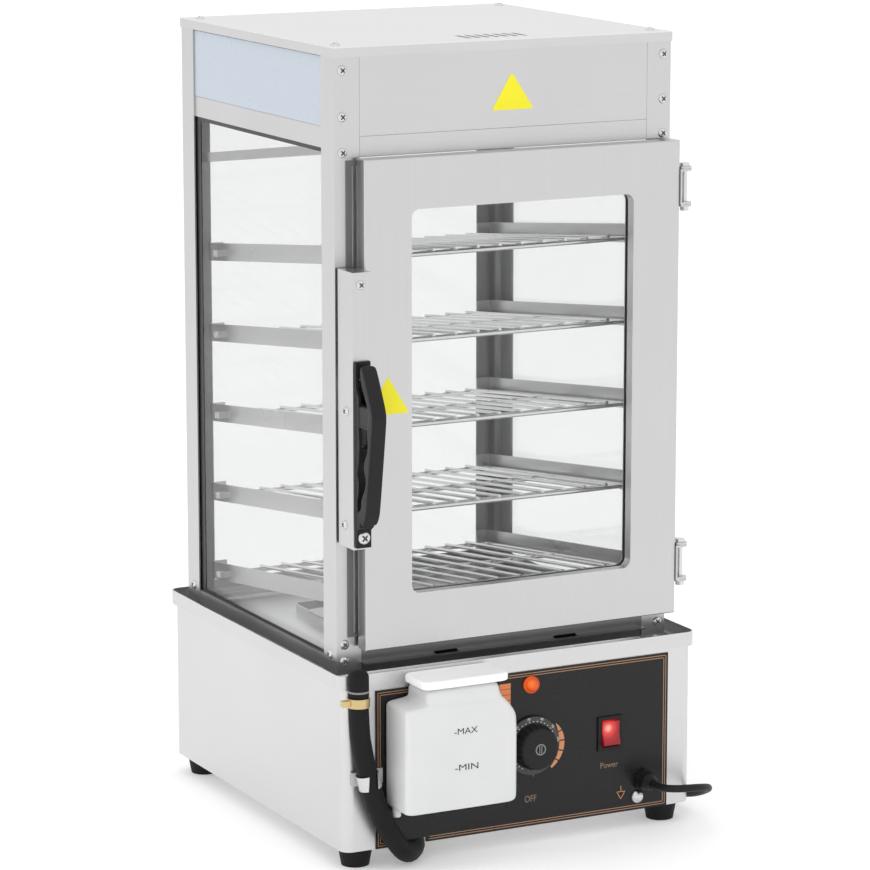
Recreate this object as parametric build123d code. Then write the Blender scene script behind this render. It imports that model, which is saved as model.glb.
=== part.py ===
from build123d import *
import math
import os

os.makedirs("parts", exist_ok=True)

# Driving dimensions, in millimetres. X is right, Y is back, Z is up.
# The cabinet stands centred on cabinet X = 0, Y = 0, and is moved as a whole when it is written.
cabHalfX = 173.0
cabHalfY = 168.0
totalHeight = 749.0
lidOverhang = 1.0
lidFlange = 9.0
sheet = 1.0
postSheet = 1.5
postFront = 25.0
postSide = 27.0
cabBottom = 176.0

baseHalfX = 183.5
baseFront = -203.0
baseBack = 180.5
baseBottom = 18.0
baseTop = 171.0
baseCorner = 10.0
plateBottom = 24.0

trayHalfX = 187.5
trayFront = -204.0
trayBack = 183.0
trayTop = 184.5

panelLeft = -151.5
panelRight = 156.5
panelTop = 167.5
panelFront = baseFront - sheet

footX = 162.0
footFrontY = -182.0
footBackY = 159.0

knobX = 10.0
knobZ = 96.0
lampX = 9.0
lampZ = 154.3
rockerX = 93.5
rockerZ = 97.0
glandX = 131.0
glandZ = 46.5
earthX = 124.0
earthZ = 31.0

doorLeft = -153.0
doorRight = 172.5
doorBottom = 201.0
doorTop = 650.0
doorFront = -188.0
doorBack = -172.0
windowLeft = -106.0
windowRight = 123.5
windowBottom = 250.0
windowTop = 603.0
windowCorner = 8.0

hingeX = 180.0
hingeY = -184.0
hingeZs = (249.5, 606.5)
hingeTabGap = 29.0
tabThick = 2.0
pinRadius = 2.4

shelfTilt = 7.0
shelfPitch = 79.0
shelfCount = 5
railRearTopZ = 215.5
railHeight = 17.0
railX = 155.0
railRearY = 152.0
railFrontY = -150.0
shelfDrop = 12.0
wireRadius = 1.6
rodRadius = 2.2

pivotY = -187.0
pivotZ = 425.0
coverLeft = -171.5
coverFront = -201.0
coverTop = 552.0
coverBottom = 300.0

tankLeft = -142.0
tankRight = -26.0
tankFront = -249.0
tankBack = panelFront - 0.5
tankBottom = 58.0
tankCorner = 8.0
tankShoulder = 138.0
tankShoulderSteps = ((148.0, 0.0, 5.0), (156.0, 2.5, 12.5))
tankNeckBottom = 162.0
tankNeckTop = 174.0
neckLeft = -120.0
neckRight = -41.0
neckDepth = 42.0

hoseRadius = 9.5
hoseX = -174.0
hoseY = -214.5
spoutTop = 192.0
cordRadius = 3.6

written = []


def block(x0, x1, y0, y1, z0, z1):
    return Pos((x0 + x1) / 2, (y0 + y1) / 2, (z0 + z1) / 2) * Box(x1 - x0, y1 - y0, z1 - z0)


def rod(radius, start, end):
    a, b = Vector(*start), Vector(*end)
    plane = Plane(origin=a, z_dir=(b - a).normalized())
    return extrude(plane * Circle(radius), (b - a).length)


def rounded(x0, x1, y0, y1, z0, z1, radius):
    face = RectangleRounded(x1 - x0, y1 - y0, radius)
    return extrude(Pos((x0 + x1) / 2, (y0 + y1) / 2, z0) * face, z1 - z0)


def window(x0, x1, z0, z1, y0, y1, radius):
    plane = Plane(origin=((x0 + x1) / 2, y1, (z0 + z1) / 2), x_dir=(1, 0, 0), z_dir=(0, -1, 0))
    return extrude(plane * RectangleRounded(x1 - x0, z1 - z0, radius), y1 - y0)


def sweepTube(radius, points, radii):
    path = FilletPolyline(*points, radius=radii)
    start = path.edges()[0]
    section = Plane(origin=path @ 0, z_dir=path % 0) * Circle(radius)
    return sweep(section, path=path), path.length


def routeRadii(points, least):
    radii = []
    for a, b, c in zip(points, points[1:], points[2:]):
        u, v = Vector(*b) - Vector(*a), Vector(*c) - Vector(*b)
        turn = math.radians(u.get_angle(v))
        radii.append(0.45 * min(u.length, v.length) / math.tan(turn / 2))
    print("route radii", [round(r) for r in radii], "least", round(min(radii)), "wanted", least)
    return radii


# Where the whole object's box has its middle, so that the origin is at the bottom centre.
leftmost = hoseX - 17
frontmost = tankFront - 0.25
midX = (leftmost + trayHalfX) / 2
midY = (frontmost + trayBack) / 2


def save(name, shape):
    pieces = shape if isinstance(shape, list) else [shape]
    solids = [s.moved(Location((-midX, -midY, 0))) for piece in pieces for s in piece.solids()]
    whole = solids[0] if len(solids) == 1 else Compound(solids)
    export_step(whole, "parts/" + name + ".step")
    written.append((name, whole))


# Base: the heating cabinet's lower body
def panelHoles(depthBack):
    y0, y1 = panelFront - 5, depthBack
    holes = rod(6.0, (lampX, y0, lampZ), (lampX, y1, lampZ))
    holes += rod(5.0, (knobX, y0, knobZ), (knobX, y1, knobZ))
    holes += block(rockerX - 11, rockerX + 11, y0, y1, rockerZ - 15, rockerZ + 15)
    holes += rod(8.1, (glandX, y0, glandZ), (glandX, y1, glandZ))
    holes += rod(3.1, (earthX, y0, earthZ), (earthX, y1, earthZ))
    holes += block(-134.0, -100.0, y0, y1, 0, 22.5)
    holes += rod(6.1, (tankPipeX, y0, tankPipeZ), (tankPipeX, y1, tankPipeZ))
    for x in tankScrewXs:
        holes += rod(2.1, (x, y0, tankScrewZ), (x, y1, tankScrewZ))
    return holes


tankPipeX = -85.0
tankPipeZ = 76.0
tankScrewXs = (-112.0, -58.0)
tankScrewZ = 138.0
boilerHalfX = 112.0
boilerFront = -122.0
boilerBack = 102.0
boilerFloor = 62.0
elementZ = 82.0
elementX = 32.0
ventCount = 9


def baseShell():
    outer = rounded(-baseHalfX, baseHalfX, baseFront, baseBack, baseBottom, baseTop, baseCorner)
    inner = rounded(-baseHalfX + sheet, baseHalfX - sheet, baseFront + sheet, baseBack - sheet,
                    baseBottom - 1, baseTop - sheet, baseCorner - sheet)
    opening = rounded(-baseHalfX + 26, baseHalfX - 26, baseFront + 26, baseBack - 26,
                      baseTop - 5, baseTop + 5, 6)
    shell = outer - inner - opening - panelHoles(baseFront + 5)
    for i in range(ventCount):
        x = (i - (ventCount - 1) / 2) * 14
        shell -= window(x - 2, x + 2, 60, 100, baseBack - 5, baseBack + 5, 1.9)
    return shell


def basePlate():
    plate = rounded(-baseHalfX + sheet, baseHalfX - sheet, baseFront + sheet, baseBack - sheet,
                    plateBottom, plateBottom + 1.2, baseCorner - sheet)
    for x, y in footPlaces():
        plate -= rod(2.6, (x, y, plateBottom - 1), (x, y, plateBottom + 3))
    return plate - rod(6.1, (drainX, drainY, 10), (drainX, drainY, 40))


def footPlaces():
    return [(sx * footX, y) for sx in (-1, 1) for y in (footFrontY, footBackY)]


def feet():
    made = []
    for x, y in footPlaces():
        foot = Pos(x, y, plateBottom / 2) * Cone(13.0, 17.5, plateBottom)
        foot -= rod(2.6, (x, y, -1), (x, y, plateBottom + 1))
        foot -= rod(5.6, (x, y, -1), (x, y, 8))
        made.append(foot)
    return made


def footScrews():
    made = []
    for x, y in footPlaces():
        screw = rod(5.0, (x, y, 4.5), (x, y, 8)) + rod(2.4, (x, y, 8), (x, y, 31))
        screw += extrude(Pos(x, y, plateBottom + 1.2) * RegularPolygon(4.6, 6), 3.5)
        made.append(screw)
    return made


def controlPanel():
    plate = block(panelLeft, panelRight, panelFront, baseFront, baseBottom, panelTop)
    return plate - panelHoles(baseFront + 5)


# Drip tray and boiler
trayOpening = (-96.0, 96.0, -106.0, 86.0)
trayLip = 181.0


def dripTray():
    outer = rounded(-trayHalfX, trayHalfX, trayFront, trayBack, baseTop, trayTop, baseCorner)
    inner = rounded(-trayHalfX + sheet, trayHalfX - sheet, trayFront + sheet, trayBack - sheet,
                    baseTop + sheet, trayTop + 1, baseCorner - sheet)
    x0, x1, y0, y1 = trayOpening
    lip = rounded(x0 - sheet, x1 + sheet, y0 - sheet, y1 + sheet, baseTop, trayLip, 7)
    tray = outer - inner + lip - rounded(x0, x1, y0, y1, baseTop - 1, trayLip + 1, 6)
    return tray - rod(5.2, (hoseX, trayFront - 3, inletZ), (hoseX, trayFront + 3, inletZ))


def boilerPan():
    outer = rounded(-boilerHalfX, boilerHalfX, boilerFront, boilerBack, boilerFloor, baseTop, 12)
    outer += rounded(-boilerHalfX - 12, boilerHalfX + 12, boilerFront - 12, boilerBack + 12,
                     baseTop - 1 - sheet, baseTop - sheet, 18)
    inner = rounded(-boilerHalfX + sheet, boilerHalfX - sheet, boilerFront + sheet,
                    boilerBack - sheet, boilerFloor + sheet, baseTop + 1, 11)
    pan = outer - inner - block(-200, 200, -200, 200, baseTop - sheet, baseTop + 3)
    for x in (-elementX, elementX):
        pan -= rod(4.1, (x, boilerFront - 5, elementZ), (x, boilerFront + 5, elementZ))
    pan -= rod(5.0, (tankPipeX, boilerFront - 5, tankPipeZ), (tankPipeX, boilerFront + 5, tankPipeZ))
    pan -= rod(3.1, (knobX, boilerFront - 5, 110), (knobX, boilerFront + 5, 110))
    return pan - rod(6.0, (drainX, drainY, boilerFloor - 3), (drainX, drainY, boilerFloor + 3))


def heatingElement():
    back = boilerBack - 30
    spread = 70.0
    points = [(-elementX, boilerFront - 16, elementZ), (-elementX, boilerFront + 30, elementZ),
              (-spread, boilerFront + 60, elementZ), (-spread, back, elementZ),
              (spread, back, elementZ), (spread, boilerFront + 60, elementZ),
              (elementX, boilerFront + 30, elementZ), (elementX, boilerFront - 16, elementZ)]
    path = FilletPolyline(*points, radius=[18, 18, 30, 30, 18, 18])
    tube = sweep(Plane(origin=path @ 0, z_dir=path % 0) * Circle(4.0), path=path)
    for x in (-elementX, elementX):
        tube += extrude(Plane(origin=(x, boilerFront - 5, elementZ), z_dir=(0, 1, 0))
                        * RegularPolygon(9, 6), 5)
    return tube


def steamPlate():
    x0, x1, y0, y1 = trayOpening
    plate = rounded(x0 - 4, x1 + 4, y0 + 34, y1 - 34, trayLip, trayLip + 1.2, 10)
    holes = []
    for i in range(7):
        for j in range(5):
            x = (x0 + x1) / 2 + (i - 3) * 24
            y = (y0 + y1) / 2 + (j - 2) * 24
            holes.append(rod(5.0, (x, y, trayLip - 1), (x, y, trayLip + 3)))
    return plate - holes


drainX = -95.0
drainY = -60.0
drainZ = 10.5
drainMouthY = -150.0


def boilerDrain():
    points = [(drainX, drainY, boilerFloor + sheet), (drainX, drainY, drainZ),
              (drainX, drainMouthY, drainZ)]
    path = FilletPolyline(*points, radius=12)
    outer = sweep(Plane(origin=path @ 0, z_dir=path % 0) * Circle(5.9), path=path)
    return outer


def feedPipe():
    pipe = rod(4.9, (tankPipeX, tankBack - 2, tankPipeZ), (tankPipeX, boilerFront + 4, tankPipeZ))
    pipe += extrude(Plane(origin=(tankPipeX, boilerFront, tankPipeZ), z_dir=(0, -1, 0))
                    * RegularPolygon(8, 6), 5)
    return pipe


# Controls on the panel
def pilotLamp():
    y = panelFront
    lamp = rod(8.0, (lampX, y - 2.5, lampZ), (lampX, y, lampZ))
    lamp += rod(5.9, (lampX, y, lampZ), (lampX, y + 22, lampZ))
    dome = Pos(lampX, y - 2.5, lampZ) * Sphere(6.6)
    return lamp + (dome & block(lampX - 9, lampX + 9, y - 12, y, lampZ - 9, lampZ + 9))


rockerPivotY = panelFront + 2.0
rockerRadius = 13.0
rockerTilt = 7.0


def switchHousing():
    y = panelFront
    body = block(rockerX - 10.9, rockerX + 10.9, y, y + 20, rockerZ - 14.9, rockerZ + 14.9)
    body += block(rockerX - 13, rockerX + 13, y - 2, y, rockerZ - 16.5, rockerZ + 16.5)
    body -= block(rockerX - 9.0, rockerX + 9.0, y - 5, y + 14, rockerZ - 13.3, rockerZ + 13.3)
    for dz in (-8, 0, 8):
        body += block(rockerX - 3, rockerX + 3, y + 20, y + 28, rockerZ + dz - 0.4, rockerZ + dz + 0.4)
    return body


def rocker():
    body = rod(rockerRadius, (rockerX - 8.7, rockerPivotY, rockerZ),
               (rockerX + 8.7, rockerPivotY, rockerZ))
    plane = Plane(origin=(rockerX - 10, rockerPivotY, rockerZ), x_dir=(0, 1, 0), z_dir=(1, 0, 0))
    outline = Polyline((3, -14), (-7.5, -14), (-5.2, 0), (-7.5, 14), (3, 14), close=True)
    keep = extrude(plane * make_face(outline), 20)
    body = body & keep
    turn = Pos(rockerX, rockerPivotY, rockerZ) * Rot(-rockerTilt, 0, 0)
    return turn * (Pos(-rockerX, -rockerPivotY, -rockerZ) * body)


def thermostatBody():
    y = baseFront + sheet
    body = block(knobX - 20, knobX + 20, y, y + 28, knobZ - 20, knobZ + 20)
    body -= rod(3.05, (knobX, y - 1, knobZ), (knobX, y + 20, knobZ))
    bulb = rod(1.2, (knobX, y + 28, 110), (knobX, boilerFront - 2, 110))
    bulb += rod(3.0, (knobX, boilerFront - 2, 110), (knobX, boilerFront + 70, 110))
    return body + bulb


def knob():
    y = panelFront
    skirt = rod(28.0, (knobX, y - 4, knobZ), (knobX, y - 1.2, knobZ))
    grip = Plane(origin=(knobX, y - 4, knobZ), z_dir=(0, -1, 0)) * Circle(22)
    face = Plane(origin=(knobX, y - 18, knobZ), z_dir=(0, -1, 0)) * Circle(18.9)
    body = loft([grip, face])
    count = 24
    for i in range(count):
        angle = 2 * math.pi * i / count
        x, z = knobX + 22.6 * math.cos(angle), knobZ + 22.6 * math.sin(angle)
        body -= rod(1.3, (x, y - 15, z), (x, y - 4.2, z))
    shaft = rod(3.0, (knobX, y - 2, knobZ), (knobX, y + 16, knobZ))
    return skirt + body + shaft


def cableGland():
    y = panelFront
    gland = extrude(Plane(origin=(glandX, y, glandZ), z_dir=(0, -1, 0)) * RegularPolygon(11.5, 6), 4)
    gland += rod(8.0, (glandX, y - 4, glandZ), (glandX, y + 10, glandZ))
    back = Plane(origin=(glandX, y - 4, glandZ), z_dir=(0, -1, 0)) * Circle(9.2)
    middle = Plane(origin=(glandX, y - 12, glandZ), z_dir=(0, -1, 0)) * Circle(8.4)
    tip = Plane(origin=(glandX, y - 18, glandZ), z_dir=(0, -1, 0)) * Circle(5.2)
    gland += loft([back, middle], ruled=True) + loft([middle, tip], ruled=True)
    return gland


def earthBolt():
    y = panelFront
    bolt = extrude(Plane(origin=(earthX, y - 4.5, earthZ), z_dir=(0, 1, 0)) * RegularPolygon(6.4, 6), 4.5)
    return bolt + rod(3.0, (earthX, y, earthZ), (earthX, y + 16, earthZ))


# Water tank on the panel
def tankBody(gap):
    x0, x1 = tankLeft + gap, tankRight - gap
    y0, y1 = tankFront + gap, tankBack - gap
    bottom = tankBottom + gap
    body = rounded(x0, x1, y0, y1, bottom, tankShoulder, tankCorner - gap)
    cy = (y0 + y1) / 2
    levels = [(tankShoulder, x0, x1, y1 - y0)]
    for z, fromLeft, fromRight in tankShoulderSteps:
        levels.append((z, x0 + fromLeft, x1 - fromRight, y1 - y0))
    levels.append((tankNeckBottom, neckLeft + gap, neckRight - gap, neckDepth - 2 * gap))
    sections = []
    for z, left, right, depth in levels:
        face = RectangleRounded(right - left, depth, tankCorner - gap)
        sections.append(Pos((left + right) / 2, cy, z) * face)
    body += loft(sections, ruled=True)
    body += extrude(sections[-1], tankNeckTop - tankNeckBottom)
    return body


def waterTank():
    tank = tankBody(0) - tankBody(2.0)
    cy = (tankFront + tankBack) / 2
    mouth = RectangleRounded(neckRight - neckLeft - 4, neckDepth - 4, tankCorner - 2)
    cut = Pos((neckLeft + neckRight) / 2, cy, tankNeckTop - 3) * mouth
    tank -= extrude(cut, 10)
    tank += rod(4.0, (tankLeft + 7, tankBack - 9, tankBottom - 8), (tankLeft + 7, tankBack - 9, tankBottom + 2))
    tank -= rod(5.0, (tankPipeX, tankBack - 2.01, tankPipeZ), (tankPipeX, tankBack + 2, tankPipeZ))
    for x in tankScrewXs:
        tank += rod(4.0, (x, tankBack - 9, tankScrewZ), (x, tankBack - 1, tankScrewZ))
        tank -= rod(2.1, (x, tankBack - 8, tankScrewZ), (x, tankBack + 2, tankScrewZ))
    return tank


def tankLid():
    nx = (neckLeft + neckRight) / 2
    cy = (tankFront + tankBack) / 2
    lid = rounded(nx - 44.5, nx + 44.5, cy - 22.5, cy + 22.1, tankNeckTop + 0.2, tankNeckTop + 8, 7)
    wide, deep = neckRight - neckLeft - 5, neckDepth - 5
    plug = RectangleRounded(wide, deep, 5.5) - RectangleRounded(wide - 4, deep - 4, 3.5)
    return lid + extrude(Pos(nx, cy, tankNeckTop - 9) * plug, 9.4)


def tankScrews():
    made = []
    for x in tankScrewXs:
        screw = rod(4.2, (x, baseFront + sheet, tankScrewZ), (x, baseFront + sheet + 3, tankScrewZ))
        made.append(screw + rod(2.0, (x, tankBack - 7.8, tankScrewZ), (x, baseFront + sheet, tankScrewZ)))
    return made


# Drain spout, hose, clamp and clip at the front left corner
hoseTop = 170.0
inletZ = 178.0


def drainSpout():
    spout = rod(9.7, (hoseX, hoseY, hoseTop), (hoseX, hoseY, spoutTop - 5))
    shoulder = [Pos(hoseX, hoseY, spoutTop - 5) * Circle(9.7), Pos(hoseX, hoseY, spoutTop) * Circle(5.5)]
    spout += loft(shoulder) + rod(5.1, (hoseX, hoseY, inletZ), (hoseX, trayFront + 3, inletZ))
    bore = rod(5.0, (hoseX, hoseY, hoseTop), (hoseX, hoseY, inletZ + 4))
    return spout - bore - rod(3.8, (hoseX, hoseY, inletZ), (hoseX, trayFront + 4, inletZ))


hosePoints = [(hoseX, hoseY, hoseTop), (hoseX, hoseY, 138), (-169.5, hoseY - 0.4, 111),
              (-164, hoseY - 0.6, 88), (-157.5, hoseY - 0.8, 66), (-148, hoseY - 0.6, 44),
              (-138, -216.5, 27), (-127.5, -215, 15), (-116.5, -204.5, 10.6), (-104, -189, 10.3),
              (drainX, -171, drainZ), (drainX, drainMouthY - 0.1, drainZ)]


def hoseClamp():
    ring = rod(10.7, (hoseX, hoseY, 158.5), (hoseX, hoseY, 167))
    ring += block(hoseX - 17, hoseX - 10, hoseY - 4, hoseY + 2.5, 160, 165.5)
    return ring - rod(9.6, (hoseX, hoseY, 157), (hoseX, hoseY, 169))


clipX = -164.0
clipZ = 88.0


def hoseClip():
    axis = Plane(origin=(clipX, hoseY - 0.6, clipZ), z_dir=(0.24, 0, -1))
    ring = extrude(axis * Circle(10.9), 7, both=True) - extrude(axis * Circle(9.9), 9, both=True)
    ring -= block(clipX - 4.5, clipX + 4.5, hoseY - 20, hoseY, clipZ - 20, clipZ + 20)
    strap = block(clipX - 13, clipX + 19, panelFront - 1.2, panelFront, clipZ - 7, clipZ + 7)
    cut = extrude(axis * Circle(9.9), 12, both=True)
    return ring + (strap - cut)


# Cabinet frame
def cornerPosts():
    made = []
    for sx in (-1, 1):
        for sy in (-1, 1):
            outer = block(-cabHalfX, -cabHalfX + postFront, -cabHalfY, -cabHalfY + postSheet,
                          cabBottom, totalHeight - lidFlange)
            outer += block(-cabHalfX, -cabHalfX + postSheet, -cabHalfY, -cabHalfY + postSide,
                           cabBottom, totalHeight - lidFlange)
            if sx == 1:
                outer = outer.mirror(Plane.YZ)
            if sy == 1:
                outer = outer.mirror(Plane.XZ)
            made.append(outer)
    return made


def ring(x, y, z0, z1, width):
    return block(-x, x, -y, y, z0, z1) - block(-x + width, x - width, -y + width, y - width, z0 - 1, z1 + 1)


frameSheet = 1.2


def lowerFrame():
    x, y = cabHalfX - postSheet, cabHalfY - postSheet
    frame = ring(x, y, cabBottom, 190, frameSheet)
    frame += ring(x, y, cabBottom, cabBottom + frameSheet, 14)
    frame += block(-x, x, -y, -y + frameSheet, cabBottom, 212)
    front = block(-cabHalfX + postFront + 0.2, cabHalfX - postFront - 0.2, -cabHalfY, -y, 186, 212)
    lip = block(-cabHalfX + postFront + 0.2, cabHalfX - postFront - 0.2, -cabHalfY - 8, -cabHalfY, 184.8, 186)
    lip += block(-cabHalfX + postFront + 0.2, cabHalfX - postFront - 0.2, -cabHalfY, -y, 184.8, 186)
    frame += front + lip
    for x0 in (-73.0, 52.7):
        frame -= block(x0, x0 + 24, -cabHalfY - 5, -cabHalfY + 4, 182.4, 187.7)
    return frame


headerBottom = 650.0
headerSeam = 669.0


def upperFrame():
    x, y = cabHalfX - postSheet, cabHalfY - postSheet
    frame = ring(x, y, 657, 676, frameSheet) + ring(x, y, 657, 657 + frameSheet, 3)
    frame += block(-x, x, -y, -y + frameSheet, headerBottom, headerSeam)
    front = block(-cabHalfX + postFront + 0.2, cabHalfX - postFront - 0.2, -cabHalfY, -y,
                  headerBottom, headerSeam - 0.4)
    return frame + front


def headerFront():
    x0, x1 = -cabHalfX + postFront + 0.2, cabHalfX - postFront - 0.2
    panel = block(x0, x1, -cabHalfY, -cabHalfY + postSheet, headerSeam, totalHeight - lidFlange)
    return panel


def headerRear():
    x1 = cabHalfX - postFront - 0.2
    return block(-x1, x1, cabHalfY - postSheet, cabHalfY, headerSeam, totalHeight - lidFlange)


def lightPanel(side):
    x0, x1 = cabHalfX - postSheet - 3.2, cabHalfX - postSheet - 0.2
    panel = block(x0, x1, -cabHalfY + 3, cabHalfY - 3, 676.2, totalHeight - lidFlange - 1)
    return panel if side > 0 else panel.mirror(Plane.YZ)


ventSlots = 7


def topLid():
    x, y = cabHalfX + lidOverhang, cabHalfY + lidOverhang
    lid = block(-x, x, -y, y, totalHeight - lidFlange, totalHeight)
    inside = block(-x + 0.8, x - 0.8, -y + 0.8, y - 0.8, totalHeight - lidFlange - 1, totalHeight - sheet)
    lid -= inside
    for i in range(ventSlots):
        cx = -24 + i * 9.6
        lid -= extrude(Pos(cx, -130, totalHeight - 3) * SlotOverall(30, 4.4, rotation=90), 6)
    for sx, sy in ((-1, -1), (-1, 1), (1, -1), (1, 1)):
        lid -= rod(1.9, (sx * 162, sy * 148, totalHeight - 4), (sx * 162, sy * 148, totalHeight + 1))
    return lid


ceilingTilt = 8.0
ceilingRearY = 150.0
ceilingRearZ = 610.5


def innerCeiling():
    x, depth = cabHalfX - 7.2, 300.0
    ceiling = block(-x, x, -depth, 0, 0, sheet)
    for side in (-1, 1):
        ceiling += block(side * x - sheet * (side > 0), side * x + sheet * (side < 0), -depth, 0, 0, 9)
    return Pos(0, ceilingRearY, ceilingRearZ) * (Rot(-ceilingTilt, 0, 0) * ceiling)


def headerLamp():
    tube = rod(7.5, (-130, 0, 705), (130, 0, 705))
    left = block(-140, -130, -9, 9, 659.4, 716)
    right = block(130, 140, -9, 9, 659.4, 716)
    tray = block(-170, 170, -12, 12, 658.2, 659.4)
    return [tube, left, right, tray]


# Glass and seals
glassBottom = 180.0
glassTop = 657.0


def sideGlass(side):
    x0, x1 = cabHalfX - 7.2, cabHalfX - 3.2
    pane = block(x0, x1, -cabHalfY + 6, cabHalfY - 12, glassBottom, glassTop - 0.3)
    return pane if side > 0 else pane.mirror(Plane.YZ)


def rearGlass():
    x = cabHalfX - 8.5
    return block(-x, x, cabHalfY - 8.0, cabHalfY - 4.0, glassBottom, glassTop - 0.3)


def glassSeals():
    made = []
    x0 = cabHalfX - postSheet - frameSheet
    for side in (-1, 1):
        pane = block(x0 - 0.5, x0, -cabHalfY + 5, cabHalfY - 11.5, 184, glassTop - 0.5)
        pane -= block(x0 - 2, x0 + 2, -cabHalfY + 29, 131, 193, glassTop - 4)
        made.append(pane if side > 0 else pane.mirror(Plane.YZ))
    y0 = cabHalfY - 4.0
    rear = block(-160, 160, y0, y0 + 1.2, 184, glassTop - 0.5)
    rear -= block(-146, 146, y0 - 1, y0 + 2, 193, glassTop - 4)
    made.append(rear)
    return made


# Shelves and their rails, tilted up to the front
def tilted(shape, index):
    pivot = Pos(0, railRearY, railRearTopZ + shelfPitch * index)
    return pivot * (Rot(-shelfTilt, 0, 0) * shape)


railSheet = 1.2
railReturn = 16.0
ledge = 11.0


def rail(side):
    length = railRearY - railFrontY
    strip = block(railX - railSheet, railX, -length, 0, -railHeight, 0)
    strip += block(railX - railReturn, railX, -railSheet, 0, -railHeight, 0)
    edge = [e for e in strip.edges().filter_by(Axis.Z)
            if abs(e.center().X - railX) < 0.1 and abs(e.center().Y) < 0.1]
    strip = fillet(edge, 1.1)
    strip += block(railX - ledge, railX, -length, -railSheet, -railHeight, -railHeight + railSheet)
    for y in (-40, -length + 25):
        strip += block(railX, cabHalfX - 7.4, y - 5, y + 5, -12, -6)
    return strip if side > 0 else strip.mirror(Plane.YZ)


def shelfRails():
    made = []
    for index in range(shelfCount):
        for side in (-1, 1):
            made.append(tilted(rail(side), index))
    return made


wireCount = 12
shelfHalfX = 151.0
shelfFrontY = -289.0
shelfRearY = -3.8


def shelf(index):
    z = -railHeight + railSheet + rodRadius + 0.3
    x = shelfHalfX - rodRadius
    path = FilletPolyline((-x, shelfRearY, z), (x, shelfRearY, z), (x, shelfFrontY, z),
                          (-x, shelfFrontY, z), radius=7, close=True)
    frame = sweep(Plane(origin=path @ 0, z_dir=path % 0) * Circle(rodRadius), path=path)
    middle = (shelfRearY + shelfFrontY) / 2
    bars = [rod(rodRadius, (-x, y, z), (x, y, z)) for y in (middle, shelfFrontY + 10)]
    top = z + rodRadius + wireRadius - 0.7
    for i in range(wireCount):
        wx = (i - (wireCount - 1) / 2) * (2 * x / (wireCount + 1))
        bars.append(rod(wireRadius, (wx, shelfRearY + 1.2, top), (wx, shelfFrontY - 1.2, top)))
    return tilted(frame.fuse(*bars), index)


# Door, hinged on the right
def doorFrame():
    frame = block(doorLeft, doorRight, doorFront, doorBack, doorBottom, doorTop)
    frame = fillet([e for e in frame.edges() if abs(e.center().Y - doorFront) < 0.1], 1.2)
    frame -= window(windowLeft, windowRight, windowBottom, windowTop, doorFront - 2, doorBack + 2,
                    windowCorner)
    seat = window(windowLeft - 9, windowRight + 9, windowBottom - 9, windowTop + 9,
                  doorFront + 10.5, doorBack - 1.0, 3)
    return frame - seat


def doorGlass():
    return window(windowLeft - 8.7, windowRight + 8.7, windowBottom - 8.7, windowTop + 8.7,
                  doorFront + 10.8, doorBack - 1.3, 2.8)


def doorGasket():
    left, right = doorLeft + 6, doorRight - 17
    low, high = doorBottom + 14, doorTop - 8
    outer = block(left, right, doorBack, doorBack + 3.4, low, high)
    return outer - block(left + 9, right - 9, doorBack - 1, doorBack + 5, low + 9, high - 9)


def sealStrip():
    outer = block(-161.7, 161.7, -cabHalfY - 1.4, -cabHalfY, 211, 648)
    return outer - block(-156.3, 156.3, -cabHalfY - 3, -cabHalfY + 1, 214, 643)


# Latch cover, handle and latch
strikeZ = 436.0
strikeY = -175.5


def latchCover():
    cover = block(coverLeft, doorLeft, coverFront, cabHalfY * -1 - 2.6, coverBottom, coverTop)
    cover -= block(coverLeft + sheet, doorLeft - sheet, coverFront + sheet, -160, coverBottom + sheet,
                   coverTop - sheet)
    slot = block(-166.5, -158.5, coverFront - 2, coverFront + 3, 395, 455)
    cover -= slot
    cover -= rod(2.1, (coverLeft - 1, pivotY, pivotZ), (coverLeft + 3, pivotY, pivotZ))
    return cover - rod(2.1, (doorLeft - 2, pivotY, pivotZ), (doorLeft + 1, pivotY, pivotZ))


handleLeft = -169.8
handleRight = -155.4
handleBack = coverFront - 0.2


def handleBase():
    plane = Plane(origin=(handleLeft, 0, 0), x_dir=(0, 1, 0), z_dir=(1, 0, 0))
    y = coverFront
    outline = [(y, 302), (y - 3.5, 302), (y - 3.5, 318), (y - 9, 322), (y - 9.5, 331), (y - 5.5, 333),
               (y - 4, 345), (y - 6.5, 353), (y - 7.5, 363), (y - 4.5, 371), (y - 7.5, 382),
               (y - 9, 396), (y - 8, 408), (y - 8, 440), (y - 3.0, 448), (y - 3.0, 472), (y, 472)]
    base = extrude(plane * make_face(Polyline(*outline, close=True)), handleRight - handleLeft)
    base -= block(-167.5, -157.5, y - 20, y + 3, 394, 456)
    return base - rod(3.1, (-162.5, y - 10, 311), (-162.5, y + 3, 311))


def handleLever():
    plane = Plane(origin=(handleLeft, 0, 0), x_dir=(0, 1, 0), z_dir=(1, 0, 0))
    outer = [(-213.0, 470.0), (-217.4, 466.5), (-226.7, 449.6), (-237.7, 428.0), (-230.6, 381.5),
             (-223.8, 336.8), (-215.1, 324.0), (-211.5, 325.5), (-215.5, 338.0), (-224.0, 383.0),
             (-228.0, 405.0), (-228.6, 424.0), (-223.0, 438.0), (-214.0, 452.0), (-210.0, 462.0),
             (-210.5, 468.5)]
    bar = extrude(plane * make_face(Polyline(*outer, close=True)), handleRight - handleLeft)
    arm = block(-165.8, -159.2, -226, pivotY - 8, 412, 438)
    lever = bar + arm + rod(9.0, (-165.8, pivotY, pivotZ), (-159.2, pivotY, pivotZ))
    return lever - rod(2.08, (-170, pivotY, pivotZ), (-150, pivotY, pivotZ))


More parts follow.
